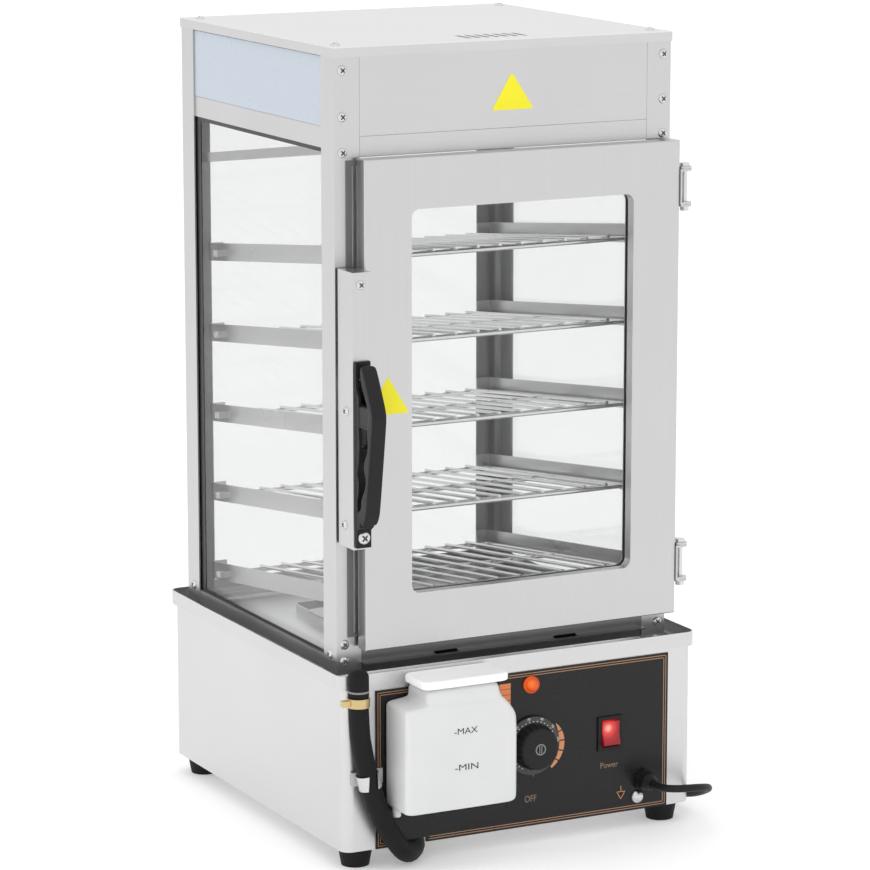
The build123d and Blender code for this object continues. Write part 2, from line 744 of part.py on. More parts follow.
def latchHook():
    hook = block(-159.2, -157.2, pivotY - 7, -171.5, pivotZ - 8, pivotZ + 4)
    hook += block(-166.0, -157.2, -177.5, -171.5, pivotZ - 1, strikeZ - 3.3)
    return hook - rod(2.08, (-170, pivotY, pivotZ), (-150, pivotY, pivotZ))


def pivotPin():
    pin = rod(2.0, (coverLeft - 0.5, pivotY, pivotZ), (doorLeft - 0.2, pivotY, pivotZ))
    return pin + rod(3.6, (coverLeft - 3, pivotY, pivotZ), (coverLeft, pivotY, pivotZ))


def latchStrike():
    plate = block(-170, -162, -cabHalfY - 1.6, -cabHalfY, strikeZ - 14, strikeZ + 14)
    arm = block(-168.0, -166.5, strikeY - 2, -cabHalfY, strikeZ - 2.5, strikeZ + 2.5)
    roller = rod(3.0, (-166.6, strikeY, strikeZ), (-159.5, strikeY, strikeZ))
    return plate + arm + roller


# Hinges
tabHalf = 6.5


def hingeTab(z, towards):
    tab = rod(tabHalf, (hingeX, hingeY, z), (hingeX, hingeY, z + tabThick))
    if towards == "door":
        tab += block(doorRight, hingeX, hingeY - 6, hingeY + 6, z, z + tabThick)
    else:
        tab += block(cabHalfX, hingeX + tabHalf, hingeY, -cabHalfY + 14, z, z + tabThick)
    return tab


def hingeTabs(towards, inset):
    made = []
    for zc in hingeZs:
        low = zc - hingeTabGap / 2 - 4.2 + inset
        high = zc + hingeTabGap / 2 + 2.2 - inset
        tabs = hingeTab(low, towards) + hingeTab(high, towards)
        if towards == "door":
            tabs += block(doorRight, doorRight + 1.5, hingeY - 6, hingeY + 6, low, high + tabThick)
        else:
            tabs += block(cabHalfX, cabHalfX + 1.5, -cabHalfY + 1, -cabHalfY + 14, low, high + tabThick)
        bore = pinRadius + (0.05 if towards == "door" else 0.0)
        tabs -= rod(bore, (hingeX, hingeY, low - 5), (hingeX, hingeY, high + 8))
        made.append(tabs)
    return made


def hingePins():
    made = []
    for zc in hingeZs:
        low = zc - hingeTabGap / 2 - 4.2
        high = zc + hingeTabGap / 2 + 2.2 + tabThick
        pin = rod(pinRadius, (hingeX, hingeY, low), (hingeX, hingeY, high + 3))
        pin += rod(4.4, (hingeX, hingeY, high), (hingeX, hingeY, high + 3))
        pin += rod(pinRadius, (hingeX, hingeY, low - 4), (hingeX, hingeY, low))
        pin += extrude(Pos(hingeX, hingeY, low - 4) * RegularPolygon(4.6, 6), 4)
        made.append(pin)
    return made


# Screws with domed heads
def domeScrew(point, direction, radius=4.2):
    plane = Plane(origin=point, z_dir=direction)
    ball = plane * (Pos(0, 0, -radius * 0.75) * Sphere(radius * 1.25))
    head = ball & extrude(plane * Circle(radius * 1.1), radius)
    return head


def cabinetScrews():
    made = []
    for sx in (-1, 1):
        for z in (728.5, 687.0, 655.0, 204.2, 188.6):
            made.append(domeScrew((sx * 165, -cabHalfY, z), (0, -1, 0)))
        for z in (728.5, 687.0, 193.2):
            made.append(domeScrew((sx * cabHalfX, -154, z), (sx, 0, 0)))
            made.append(domeScrew((sx * cabHalfX, 154, z), (sx, 0, 0)))
            made.append(domeScrew((sx * 160, cabHalfY, z), (0, 1, 0)))
        for sy in (-1, 1):
            made.append(domeScrew((sx * 162, sy * 148, totalHeight), (0, 0, 1)))
    return made


def doorScrews():
    made = [domeScrew((-163.5, coverFront, 540.7), (0, -1, 0), 4.0),
            domeScrew((-162.5, coverFront - 3.5, 311), (0, -1, 0), 5.4),
            domeScrew((coverLeft, pivotY + 4, 320), (-1, 0, 0), 4.0)]
    return made


# Mains lead: free stretch, coil put away behind, and plug
cordExitY = panelFront - 18.0
coilX = 146.0
coilY = 252.0
coilOuter = 48.0
coilPitch = 7.8
coilTurns = 2.25
floorZ = cordRadius + 0.1
layerZ = 7.8

cordPoints = [(glandX, cordExitY, glandZ), (glandX, cordExitY - 14, glandZ),
              (glandX + 9, cordExitY - 28, 48), (157, -254, 48), (174, -247, 44.5), (187, -232, 38),
              (194.5, -211, 29), (197, -188, 20), (197.5, -163, 13), (197, -136, 8.2),
              (197.5, -104, 5.2), (196.5, -64, 4.0), (197.5, -16, 3.8), (196.5, 32, 3.9),
              (197, 80, 3.8), (196, 126, 4.3), (195.5, 168, 7.0)]


def coilPoint(angle):
    """Spiral in on the upper layer, climb down over half a turn, spiral out on the floor."""
    first = 2 * math.pi * coilTurns
    half = math.pi
    step = coilPitch / (2 * math.pi)
    inner = coilOuter - step * first
    if angle <= first:
        radius, z = coilOuter - step * angle, floorZ + layerZ
    elif angle <= first + half:
        u = (angle - first) / half
        radius = inner - step * half * (u - u * u)
        z = floorZ + layerZ * (1 - u * u * (3 - 2 * u))
    else:
        radius, z = inner + step * (angle - first - half), floorZ
    a = coilEntry + angle
    return Vector(coilX + radius * math.cos(a), coilY + radius * math.sin(a), z)


coilEntry = 0.0
coilTotal = 2 * math.pi * (2 * coilTurns) + math.pi


def coilTangent(angle):
    d = 0.01
    low, high = max(0.0, angle - d), min(coilTotal, angle + d)
    return (coilPoint(high) - coilPoint(low)).normalized()


def biarcJoint(p0, t0, p1, t1):
    v = p1 - p0
    t = t0 + t1
    a = t.dot(t) - 4
    b = v.dot(t)
    c = v.dot(v)
    if abs(a) < 1e-9:
        d = c / (2 * b)
    else:
        root = math.sqrt(b * b - a * c)
        d = (b - root) / a if (b - root) / a > 0 else (b + root) / a
    return (p0 + t0 * d + p1 - t1 * d) / 2


def cordCoil():
    steps = int(round(coilTotal / (math.pi / 2)))
    angles = [coilTotal * i / steps for i in range(steps + 1)]
    edges = [Line(coilPoint(0) - coilTangent(0) * 2 * cordRadius, coilPoint(0))]
    for a, b in zip(angles, angles[1:]):
        p0, p1, t0, t1 = coilPoint(a), coilPoint(b), coilTangent(a), coilTangent(b)
        joint = biarcJoint(p0, t0, p1, t1)
        edges.append(TangentArc(p0, joint, tangent=t0))
        edges.append(TangentArc(joint, p1, tangent=edges[-1] % 1))
    edges.append(Line(p1, p1 + coilTangent(coilTotal) * 2 * cordRadius))
    path = Wire([e.edge() if hasattr(e, "edge") else e for e in edges])
    least = 1e9
    count = 48 * int(2 * coilTurns + 1)
    points = [coilPoint(coilTotal * i / count) for i in range(count + 1)]
    for i, p in enumerate(points):
        for j in range(i + 36, count + 1):
            least = min(least, (points[j] - p).length)
    print("coil least gap to itself", round(least - 2 * cordRadius, 2), "length", round(path.length))
    tube = sweep(Plane(origin=path @ 0, z_dir=path % 0) * Circle(cordRadius), path=path)
    section = math.pi * cordRadius ** 2
    print("coil volume over section times length", round(tube.volume / (section * path.length), 4))
    return tube


def cordStretch():
    entry = coilPoint(0) - coilTangent(0) * 2 * cordRadius
    before = entry - coilTangent(0) * 24
    points = cordPoints + [tuple(before), tuple(entry)]
    radii = routeRadii(points, 5 * 2 * cordRadius)
    tube, length = sweepTube(cordRadius, points, radii)
    print("cord tube length", round(length), "volume ratio",
          round(tube.volume / (math.pi * cordRadius ** 2 * length), 4))
    return tube


def drainHose():
    radii = routeRadii(hosePoints, 5 * 2 * hoseRadius)
    tube, length = sweepTube(hoseRadius, hosePoints, radii)
    print("hose length", round(length), "volume ratio",
          round(tube.volume / (math.pi * hoseRadius ** 2 * length), 4))
    return tube


def plug():
    end = coilPoint(coilTotal) + coilTangent(coilTotal) * (2 * cordRadius + 0.06)
    along = coilTangent(coilTotal)
    plane = Plane(origin=end, x_dir=along.cross(Vector(0, 0, 1)), z_dir=along)
    raised = Plane(origin=plane.offset(24).origin + Vector(0, 0, 2.2), x_dir=plane.x_dir, z_dir=along)
    lifted = Plane(origin=plane.offset(44).origin + Vector(0, 0, 9.6), x_dir=plane.x_dir, z_dir=along)
    relief = loft([plane * Circle(cordRadius + 0.05), raised * Circle(5.5)])
    body = loft([raised * Circle(5.5), lifted * Circle(13.0)])
    body += extrude(lifted * Circle(13.0), 9)
    face = lifted.offset(9)
    for side in (-9.5, 9.5):
        pin = Plane(origin=face.origin + face.x_dir * side, z_dir=along)
        body += extrude(pin * Circle(2.4), 19)
    return relief + body


save("base_shell", baseShell())
save("base_bottom_plate", basePlate())
save("rubber_feet", feet())
save("control_panel", controlPanel())
save("drip_tray", dripTray())
save("boiler_pan", boilerPan())
save("heating_element", heatingElement())
save("steam_plate", steamPlate())
save("boiler_drain", boilerDrain())
save("water_feed_pipe", feedPipe())
save("pilot_lamp", pilotLamp())
save("switch_housing", switchHousing())
save("switch_rocker", rocker())
save("thermostat_body", thermostatBody())
save("thermostat_knob", knob())
save("cable_gland", cableGland())
save("earth_bolt", earthBolt())
save("water_tank", waterTank())
save("tank_lid", tankLid())
save("drain_spout", drainSpout())
save("drain_hose", drainHose())
save("hose_clamp", hoseClamp())
save("hose_clip", hoseClip())
save("corner_posts", cornerPosts())
save("lower_frame", lowerFrame())
save("upper_frame", upperFrame())
save("header_front", headerFront())
save("header_rear", headerRear())
save("light_panel_left", lightPanel(-1))
save("light_panel_right", lightPanel(1))
save("top_lid", topLid())
save("inner_ceiling", innerCeiling())
save("header_lamp", headerLamp())
save("glass_left", sideGlass(-1))
save("glass_right", sideGlass(1))
save("glass_rear", rearGlass())
save("glass_seals", glassSeals())
save("shelf_rails", shelfRails())
for i in range(shelfCount):
    save("shelf_" + str(i + 1), shelf(i))
save("door_frame", doorFrame())
save("door_glass", doorGlass())
save("door_gasket", doorGasket())
save("front_seal_strip", sealStrip())
save("latch_cover", latchCover())
save("handle_base", handleBase())
save("handle_lever", handleLever())
save("latch_hook", latchHook())
save("latch_strike", latchStrike())
save("hinge_cabinet_brackets", hingeTabs("cabinet", 0.0))
save("hinge_door_brackets", hingeTabs("door", 2.2))
save("hinge_pins", hingePins())
save("cabinet_screws", cabinetScrews() + footScrews() + tankScrews())
save("door_screws", doorScrews() + [pivotPin()])
save("power_cord", cordStretch())
save("cord_coil", cordCoil())
save("power_plug", plug())

loose = ("power_cord", "cord_coil", "power_plug", "drain_hose")
boxes = [shape.bounding_box() for name, shape in written if name not in loose]
print("nodes", len(written))
print("x", min(b.min.X for b in boxes), max(b.max.X for b in boxes))
print("y", min(b.min.Y for b in boxes), max(b.max.Y for b in boxes))
print("z", min(b.min.Z for b in boxes), max(b.max.Z for b in boxes))
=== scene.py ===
import math

import bmesh
import bpy
from mathutils import Matrix, Vector


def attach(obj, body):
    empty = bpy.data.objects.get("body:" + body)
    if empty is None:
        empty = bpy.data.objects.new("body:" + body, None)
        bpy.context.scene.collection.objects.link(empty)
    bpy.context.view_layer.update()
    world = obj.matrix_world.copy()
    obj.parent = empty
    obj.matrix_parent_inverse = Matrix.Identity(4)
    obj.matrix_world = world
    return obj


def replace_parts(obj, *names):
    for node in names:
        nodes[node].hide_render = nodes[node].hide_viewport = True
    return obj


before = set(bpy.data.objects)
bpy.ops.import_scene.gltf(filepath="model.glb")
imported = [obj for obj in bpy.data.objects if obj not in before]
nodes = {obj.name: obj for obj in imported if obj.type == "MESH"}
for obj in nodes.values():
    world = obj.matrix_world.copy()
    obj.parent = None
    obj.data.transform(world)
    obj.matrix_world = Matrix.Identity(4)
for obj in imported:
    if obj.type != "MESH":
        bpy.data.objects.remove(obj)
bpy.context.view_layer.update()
print("frame loaded")


# Places are written in the cabinet's own millimetres: x and y from its middle, z from the counter.
def spot(x, y, z):
    return Vector(((x + 1.75) / 1000, (y + 33.125) / 1000, z / 1000))


def put(obj, body):
    bpy.context.scene.collection.objects.link(obj)
    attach(obj, body)
    return obj


def meshPiece(name, bm, body, material, smooth=True):
    mesh = bpy.data.meshes.new(name)
    bmesh.ops.recalc_face_normals(bm, faces=bm.faces)
    bm.to_mesh(mesh)
    bm.free()
    for face in mesh.polygons:
        face.use_smooth = smooth
    mesh.materials.append(material)
    return put(bpy.data.objects.new(name, mesh), body)


def soften(obj, width, segments=3, angle=40):
    bevel = obj.modifiers.new("edges", "BEVEL")
    bevel.width = width
    bevel.segments = segments
    bevel.limit_method = "ANGLE"
    bevel.angle_limit = math.radians(angle)
    bevel.harden_normals = True


def subdivide(obj):
    sub = obj.modifiers.new("smooth", "SUBSURF")
    sub.levels = 1
    sub.render_levels = 1


# Camera, stage and light
camera = {"place": spot(-1663.4, -3258.6, 1082.5), "yaw": -27.241, "pitch": 11.252, "pixels": 3880.7}
cameraData = bpy.data.cameras.new("camera")
cameraData.sensor_width = 36
cameraData.lens = camera["pixels"] / 870 * 36
cameraData.clip_end = 60
cameraObject = bpy.data.objects.new("camera", cameraData)
cameraObject.location = camera["place"]
cameraObject.rotation_euler = (math.radians(90 - camera["pitch"]), 0, math.radians(camera["yaw"]))
bpy.context.scene.collection.objects.link(cameraObject)
bpy.context.scene.camera = cameraObject
bpy.context.scene.view_settings.view_transform = "Standard"

studio = {"upper": 0.98, "horizon": 0.94, "lower": 0.7}
world = bpy.data.worlds.new("studio")
bpy.context.scene.world = world
world.use_nodes = True
worldTree = world.node_tree
worldTree.nodes.clear()
worldOut = worldTree.nodes.new("ShaderNodeOutputWorld")
lightPath = worldTree.nodes.new("ShaderNodeLightPath")
seen = worldTree.nodes.new("ShaderNodeMath")
seen.operation = "MAXIMUM"
white = worldTree.nodes.new("ShaderNodeBackground")
white.inputs["Color"].default_value = (1, 1, 1, 1)
white.inputs["Strength"].default_value = 1.0
soft = worldTree.nodes.new("ShaderNodeBackground")
coords = worldTree.nodes.new("ShaderNodeTexCoord")
split = worldTree.nodes.new("ShaderNodeSeparateXYZ")
ramp = worldTree.nodes.new("ShaderNodeValToRGB")
spread = worldTree.nodes.new("ShaderNodeMapRange")
spread.inputs["From Min"].default_value = -1
ramp.color_ramp.elements[0].position = 0.3
ramp.color_ramp.elements[0].color = (studio["lower"],) * 3 + (1,)
ramp.color_ramp.elements[1].position = 0.8
ramp.color_ramp.elements[1].color = (studio["upper"],) * 3 + (1,)
middle = ramp.color_ramp.elements.new(0.5)
middle.color = (studio["horizon"],) * 3 + (1,)
mixer = worldTree.nodes.new("ShaderNodeMixShader")
worldTree.links.new(lightPath.outputs["Is Camera Ray"], seen.inputs[0])
worldTree.links.new(lightPath.outputs["Is Transmission Ray"], seen.inputs[1])
worldTree.links.new(coords.outputs["Generated"], split.inputs[0])
worldTree.links.new(split.outputs["Z"], spread.inputs["Value"])
worldTree.links.new(spread.outputs["Result"], ramp.inputs["Fac"])
worldTree.links.new(ramp.outputs["Color"], soft.inputs["Color"])
worldTree.links.new(seen.outputs[0], mixer.inputs["Fac"])
worldTree.links.new(soft.outputs[0], mixer.inputs[1])
worldTree.links.new(white.outputs[0], mixer.inputs[2])
worldTree.links.new(mixer.outputs[0], worldOut.inputs["Surface"])


def lamp(name, place, aim, size, power):
    data = bpy.data.lights.new(name, "AREA")
    data.shape = "RECTANGLE"
    data.size, data.size_y = size
    data.energy = power
    obj = bpy.data.objects.new(name, data)
    obj.location = place
    obj.rotation_euler = (Vector(aim) - Vector(place)).to_track_quat("-Z", "Y").to_euler()
    bpy.context.scene.collection.objects.link(obj)


lamp("keyLight", (-2.2, -2.6, 2.6), (0, 0, 0.35), (1.6, 1.6), 5)
lamp("sideLight", (-3.0, 0.2, 1.2), (0, 0, 0.4), (1.4, 1.8), 7)
lamp("frontLight", (1.6, -3.2, 1.4), (0, 0, 0.35), (1.4, 1.6), 2)
lamp("topLight", (0, 0.2, 2.8), (0, 0, 0.7), (1.6, 1.6), 3)


# Materials
def blank(name):
    material = bpy.data.materials.new(name)
    material.use_nodes = True
    return material, material.node_tree, material.node_tree.nodes["Principled BSDF"]


def noiseOf(tree, scale, detail, stretch=(1, 1, 1)):
    where = tree.nodes.new("ShaderNodeTexCoord")
    mapping = tree.nodes.new("ShaderNodeMapping")
    mapping.inputs["Scale"].default_value = stretch
    noise = tree.nodes.new("ShaderNodeTexNoise")
    noise.inputs["Scale"].default_value = scale
    noise.inputs["Detail"].default_value = detail
    tree.links.new(where.outputs["Object"], mapping.inputs["Vector"])
    tree.links.new(mapping.outputs["Vector"], noise.inputs["Vector"])
    return noise.outputs["Fac"]


def ranged(tree, source, low, high, fromLow=0.3, fromHigh=0.7):
    spreadNode = tree.nodes.new("ShaderNodeMapRange")
    spreadNode.inputs["From Min"].default_value = fromLow
    spreadNode.inputs["From Max"].default_value = fromHigh
    spreadNode.inputs["To Min"].default_value = low
    spreadNode.inputs["To Max"].default_value = high
    tree.links.new(source, spreadNode.inputs["Value"])
    return spreadNode.outputs["Result"]


def tinted(tree, source, dark, light):
    mix = tree.nodes.new("ShaderNodeMix")
    mix.data_type = "RGBA"
    mix.inputs[6].default_value = dark + (1,)
    mix.inputs[7].default_value = light + (1,)
    tree.links.new(source, mix.inputs[0])
    return mix.outputs[2]


def bumped(tree, shader, source, strength, distance):
    bump = tree.nodes.new("ShaderNodeBump")
    bump.inputs["Strength"].default_value = strength
    bump.inputs["Distance"].default_value = distance
    tree.links.new(source, bump.inputs["Height"])
    tree.links.new(bump.outputs["Normal"], shader.inputs["Normal"])


def brushed(name, light, rough, along="x"):
    material, tree, shader = blank(name)
    shader.inputs["Metallic"].default_value = 1
    stretch = {"x": (6, 700, 700), "z": (700, 700, 6), "y": (700, 6, 700)}[along]
    grain = noiseOf(tree, 1.0, 3, stretch)
    smudge = noiseOf(tree, 7, 2)
    dark = tuple(c * 0.95 for c in light)
    tree.links.new(tinted(tree, grain, dark, light), shader.inputs["Base Color"])
    tree.links.new(ranged(tree, smudge, rough - 0.04, rough + 0.05), shader.inputs["Roughness"])
    bumped(tree, shader, grain, 0.12, 0.00015)
    return material


def moulded(name, dark, light, rough, grainSize=900, strength=0.15, specular=0.5):
    material, tree, shader = blank(name)
    mottle = noiseOf(tree, 30, 3)
    grain = noiseOf(tree, grainSize, 2)
    tree.links.new(tinted(tree, mottle, dark, light), shader.inputs["Base Color"])
    tree.links.new(ranged(tree, mottle, rough - 0.05, rough + 0.06), shader.inputs["Roughness"])
    shader.inputs["Specular IOR Level"].default_value = specular
    bumped(tree, shader, grain, strength, 0.0001)
    return material


def paneOf(name, tint, shine):
    material, tree, shader = blank(name)
    tree.nodes.remove(shader)
    clear = tree.nodes.new("ShaderNodeBsdfTransparent")
    clear.inputs["Color"].default_value = tint + (1,)
    gloss = tree.nodes.new("ShaderNodeBsdfGlossy")
    gloss.inputs["Roughness"].default_value = 0.02
    edge = tree.nodes.new("ShaderNodeLayerWeight")
    steep = tree.nodes.new("ShaderNodeMath")
    steep.operation = "POWER"
    steep.inputs[1].default_value = 4
    floorShine = tree.nodes.new("ShaderNodeMath")
    floorShine.operation = "ADD"
    floorShine.inputs[1].default_value = 0.03
    haze = noiseOf(tree, 5, 3)
    scaled = tree.nodes.new("ShaderNodeMath")
    scaled.operation = "MULTIPLY"
    tree.links.new(edge.outputs["Facing"], steep.inputs[0])
    tree.links.new(steep.outputs[0], floorShine.inputs[0])
    tree.links.new(floorShine.outputs[0], scaled.inputs[0])
    tree.links.new(ranged(tree, haze, shine * 0.8, shine * 1.2), scaled.inputs[1])
    mix = tree.nodes.new("ShaderNodeMixShader")
    tree.links.new(scaled.outputs[0], mix.inputs["Fac"])
    tree.links.new(clear.outputs[0], mix.inputs[1])
    tree.links.new(gloss.outputs[0], mix.inputs[2])
    tree.links.new(mix.outputs[0], tree.nodes["Material Output"].inputs["Surface"])
    return material


def combine(tree, operation, first, second):
    node = tree.nodes.new("ShaderNodeMath")
    node.operation = operation
    for socket, value in zip(node.inputs, (first, second)):
        if isinstance(value, (int, float)):
            socket.default_value = value
        else:
            tree.links.new(value, socket)
    return node.outputs[0]


def whereOn(tree):
    coordinates = tree.nodes.new("ShaderNodeTexCoord")
    parts = tree.nodes.new("ShaderNodeSeparateXYZ")
    tree.links.new(coordinates.outputs["Object"], parts.inputs[0])
    return [parts.outputs[i] for i in range(3)]


# 1 inside a rectangle of the cabinet's own millimetres as seen from above, 0 outside it
def insideOf(tree, x, y, x0, x1, y0, y1):
    low, high = spot(x0, y0, 0), spot(x1, y1, 0)
    mask = 1
    for value, centre, half in ((x, (low.x + high.x) / 2, (high.x - low.x) / 2),
                                (y, (low.y + high.y) / 2, (high.y - low.y) / 2)):
        away = combine(tree, "ABSOLUTE", combine(tree, "SUBTRACT", value, centre), 0)
        mask = combine(tree, "MULTIPLY", combine(tree, "LESS_THAN", away, half), mask)
    return mask


# A second tone on a finish where the mask is 1
def retone(tree, shader, mask, tone):
    mix = tree.nodes.new("ShaderNodeMix")
    mix.data_type = "RGBA"
    mix.inputs[7].default_value = tone + (1,)
    tree.links.new(mask, mix.inputs[0])
    tree.links.new(shader.inputs["Base Color"].links[0].from_socket, mix.inputs[6])
    tree.links.new(mix.outputs[2], shader.inputs["Base Color"])


# A lens lit from behind: brightest at one place, fading outward
def glowing(name, centre, reach, tones, strength):
    material, tree, shader = blank(name)
    coordinates = tree.nodes.new("ShaderNodeTexCoord")
    distance = tree.nodes.new("ShaderNodeVectorMath")
    distance.operation = "DISTANCE"
    distance.inputs[1].default_value = spot(*centre)
    tree.links.new(coordinates.outputs["Object"], distance.inputs[0])
    share = combine(tree, "DIVIDE", distance.outputs["Value"], reach / 1000)
    glow = tree.nodes.new("ShaderNodeValToRGB")
    glow.color_ramp.elements[0].color = tones[0] + (1,)
    glow.color_ramp.elements[1].color = tones[-1] + (1,)
    for i in range(1, len(tones) - 1):
        stop = glow.color_ramp.elements.new(i / (len(tones) - 1))
        stop.color = tones[i] + (1,)
    tree.links.new(share, glow.inputs["Fac"])
    tree.links.new(glow.outputs["Color"], shader.inputs["Emission Color"])
    shader.inputs["Emission Strength"].default_value = strength
    mottle = noiseOf(tree, 300, 2)
    dark = tuple(c * 0.5 for c in tones[-1])
    tree.links.new(tinted(tree, mottle, dark, tones[-1]), shader.inputs["Base Color"])
    shader.inputs["Roughness"].default_value = 0.16
    bumped(tree, shader, mottle, 0.1, 0.0002)
    return material


steelFront = brushed("steelFront", (0.6, 0.6, 0.6), 0.36, "x")
steelPost = brushed("steelPost", (0.59, 0.59, 0.59), 0.32, "z")
# The lid's steel is painted lighter than the other steel: painted light on its top
steelLidPaintedLight = brushed("steelLidPaintedLight", (0.8, 0.8, 0.8), 0.42, "x")
steelBase = brushed("steelBase", (0.69, 0.69, 0.69), 0.4, "x")
# Inside steel painted darker than the outside steel: painted shade inside the cabinet
steelInnerPaintedShade = brushed("steelInnerPaintedShade", (0.5, 0.5, 0.5), 0.3, "y")
steelTray = brushed("steelTray", (0.66, 0.66, 0.66), 0.36, "x")
steelSill = brushed("steelSill", (0.61, 0.61, 0.61), 0.34, "x")
wireChrome = moulded("wireChrome", (0.66, 0.66, 0.66), (0.8, 0.8, 0.8), 0.2, 600, 0.05)
zinc = moulded("zinc", (0.6, 0.6, 0.61), (0.72, 0.72, 0.73), 0.3, 500, 0.1)
brass = moulded("brass", (0.55, 0.42, 0.2), (0.7, 0.55, 0.28), 0.3, 500, 0.1)
for metal in (wireChrome, zinc, brass):
    metal.node_tree.nodes["Principled BSDF"].inputs["Metallic"].default_value = 1
panelBlack = moulded("panelBlack", (0.010, 0.010, 0.010), (0.014, 0.014, 0.014), 0.3, 1500, 0, 0.28)
plasticBlack = moulded("plasticBlack", (0.009, 0.009, 0.009), (0.014, 0.014, 0.014), 0.42, 1800, 0.2, 0.24)
rubberBlack = moulded("rubberBlack", (0.006, 0.006, 0.006), (0.01, 0.01, 0.01), 0.6, 1200, 0.3, 0.2)
cableBlack = moulded("cableBlack", (0.009, 0.009, 0.009), (0.014, 0.014, 0.014), 0.5, 1400, 0.2, 0.25)
tankWhite = moulded("tankWhite", (0.7, 0.71, 0.71), (0.76, 0.76, 0.76), 0.38, 700, 0.08)
tankShader = tankWhite.node_tree.nodes["Principled BSDF"]
tankShader.inputs["Subsurface Weight"].default_value = 0.35
tankShader.inputs["Subsurface Radius"].default_value = (0.02, 0.02, 0.02)
lampWhite = moulded("lampWhite", (0.8, 0.8, 0.78), (0.9, 0.9, 0.88), 0.4, 500, 0.05)
stickerYellow = moulded("stickerYellow", (0.86, 0.78, 0.0), (0.95, 0.86, 0.01), 0.35, 900, 0.03)
copperInk = moulded("copperInk", (0.36, 0.19, 0.1), (0.45, 0.25, 0.14), 0.45, 1500, 0.03)
bronzeInk = moulded("bronzeInk", (0.22, 0.14, 0.08), (0.28, 0.18, 0.11), 0.45, 1500, 0.03)
orangeInk = moulded("orangeInk", (0.62, 0.25, 0.11), (0.7, 0.3, 0.14), 0.45, 1500, 0.03)
patchInk = moulded("patchInk", (0.68, 0.2, 0.06), (0.75, 0.25, 0.08), 0.45, 1500, 0.03)
whiteInk = moulded("whiteInk", (0.75, 0.75, 0.75), (0.86, 0.86, 0.86), 0.5, 1500, 0.03)
blackInk = moulded("blackInk", (0.02, 0.02, 0.02), (0.05, 0.05, 0.05), 0.5, 1500, 0.03)
sealGrey = moulded("sealGrey", (0.11, 0.11, 0.11), (0.15, 0.15, 0.15), 0.4, 1200, 0.1, 0.5)
# One seal painted in two tones, grey and near black on the left pane: painted light and shade
sealPaintedLitAndShaded = moulded("sealPaintedLitAndShaded", (0.3, 0.3, 0.3), (0.4, 0.4, 0.4), 0.35, 1200, 0.1, 0.5)
# Dark grey inside the screw slots: painted shade in the recess
screwSlotShade = moulded("screwSlotShade", (0.06, 0.06, 0.06), (0.1, 0.1, 0.1), 0.5, 900, 0.05, 0.3)
# Black for the sheets behind the sill's slots: painted shade
slotShadeBlack = moulded("slotShadeBlack", (0.004, 0.004, 0.004), (0.008, 0.008, 0.008), 0.7, 900, 0.05, 0.1)
skirtGrey = moulded("skirtGrey", (0.035, 0.035, 0.035), (0.05, 0.05, 0.05), 0.4, 1500, 0.1, 0.5)
capPaintedGlow = moulded("capPaintedGlow", (0.9, 0.9, 0.9), (0.95, 0.95, 0.95), 0.38, 700, 0.08)
# The tank lid glows faintly though it is no lamp: painted light
capShader = capPaintedGlow.node_tree.nodes["Principled BSDF"]
capShader.inputs["Emission Color"].default_value = (1, 1, 1, 1)
capShader.inputs["Emission Strength"].default_value = 0.1
greyInk = moulded("greyInk", (0.2, 0.2, 0.2), (0.28, 0.28, 0.28), 0.5, 1500, 0.03)
glassClear = paneOf("glassClear", (0.945, 0.948, 0.947), 0.9)
lightBlue = moulded("lightBlue", (0.47, 0.53, 0.6), (0.5, 0.56, 0.63), 0.3, 400, 0)
lampLens = glowing("lampLens", (0.5, -216, 160), 15,
                   ((1, 0.9, 0.65), (0.95, 0.28, 0.04), (0.68, 0.1, 0.01), (0.4, 0.04, 0.0)), 0.8)
rockerLens = glowing("rockerLens", (90.2, -209, 102.6), 15,
                     ((1, 0.8, 0.65), (0.85, 0.07, 0.05), (0.36, 0.004, 0.008), (0.16, 0.0, 0.003)), 0.85)

# Painted light on the tray: painted shade and a painted dark reflection in its gutter, and painted light on its
# floor where the cabinet stands over it
trayPaintedLightAndShade = {"cabinet": (-171, 171, -166, 166), "rim": (-183.9, 183.9, -200.4, 179.4), "edge": 184.2,
            "gutterPaintedShade": (0.2, 0.2, 0.2), "floorTone": (0.92, 0.92, 0.92)}
trayTree = steelTray.node_tree
trayShader = trayTree.nodes["Principled BSDF"]
trayX, trayY, trayZ = whereOn(trayTree)
underCabinet = insideOf(trayTree, trayX, trayY, *trayPaintedLightAndShade["cabinet"])
withinRim = insideOf(trayTree, trayX, trayY, *trayPaintedLightAndShade["rim"])
gutter = combine(trayTree, "MULTIPLY", withinRim, combine(trayTree, "SUBTRACT", 1, underCabinet))
belowEdge = combine(trayTree, "LESS_THAN", trayZ, trayPaintedLightAndShade["edge"] / 1000)
# painted shade and dark reflection in the gutter below the tray's edge
retone(trayTree, trayShader, combine(trayTree, "MULTIPLY", gutter, belowEdge), trayPaintedLightAndShade["gutterPaintedShade"])
# painted light: the tray floor under the cabinet is painted lighter than the rest of the tray
retone(trayTree, trayShader, underCabinet, trayPaintedLightAndShade["floorTone"])



# A second tone on the side of one plane, where an axis is below the value
def toneBelow(material, axis, value, tone):
    tree = material.node_tree
    below = combine(tree, "LESS_THAN", whereOn(tree)[axis], value)
    retone(tree, tree.nodes["Principled BSDF"], below, tone)


# Painted shade on the sill's front under the door; the left pane's seal and the other seals painted as shaded and
# lit copies of one seal; the lid's turned-down edge painted darker than its top, painted shade
toneBelow(steelSill, 1, spot(0, -166.4, 0).y, (0.24, 0.24, 0.24))
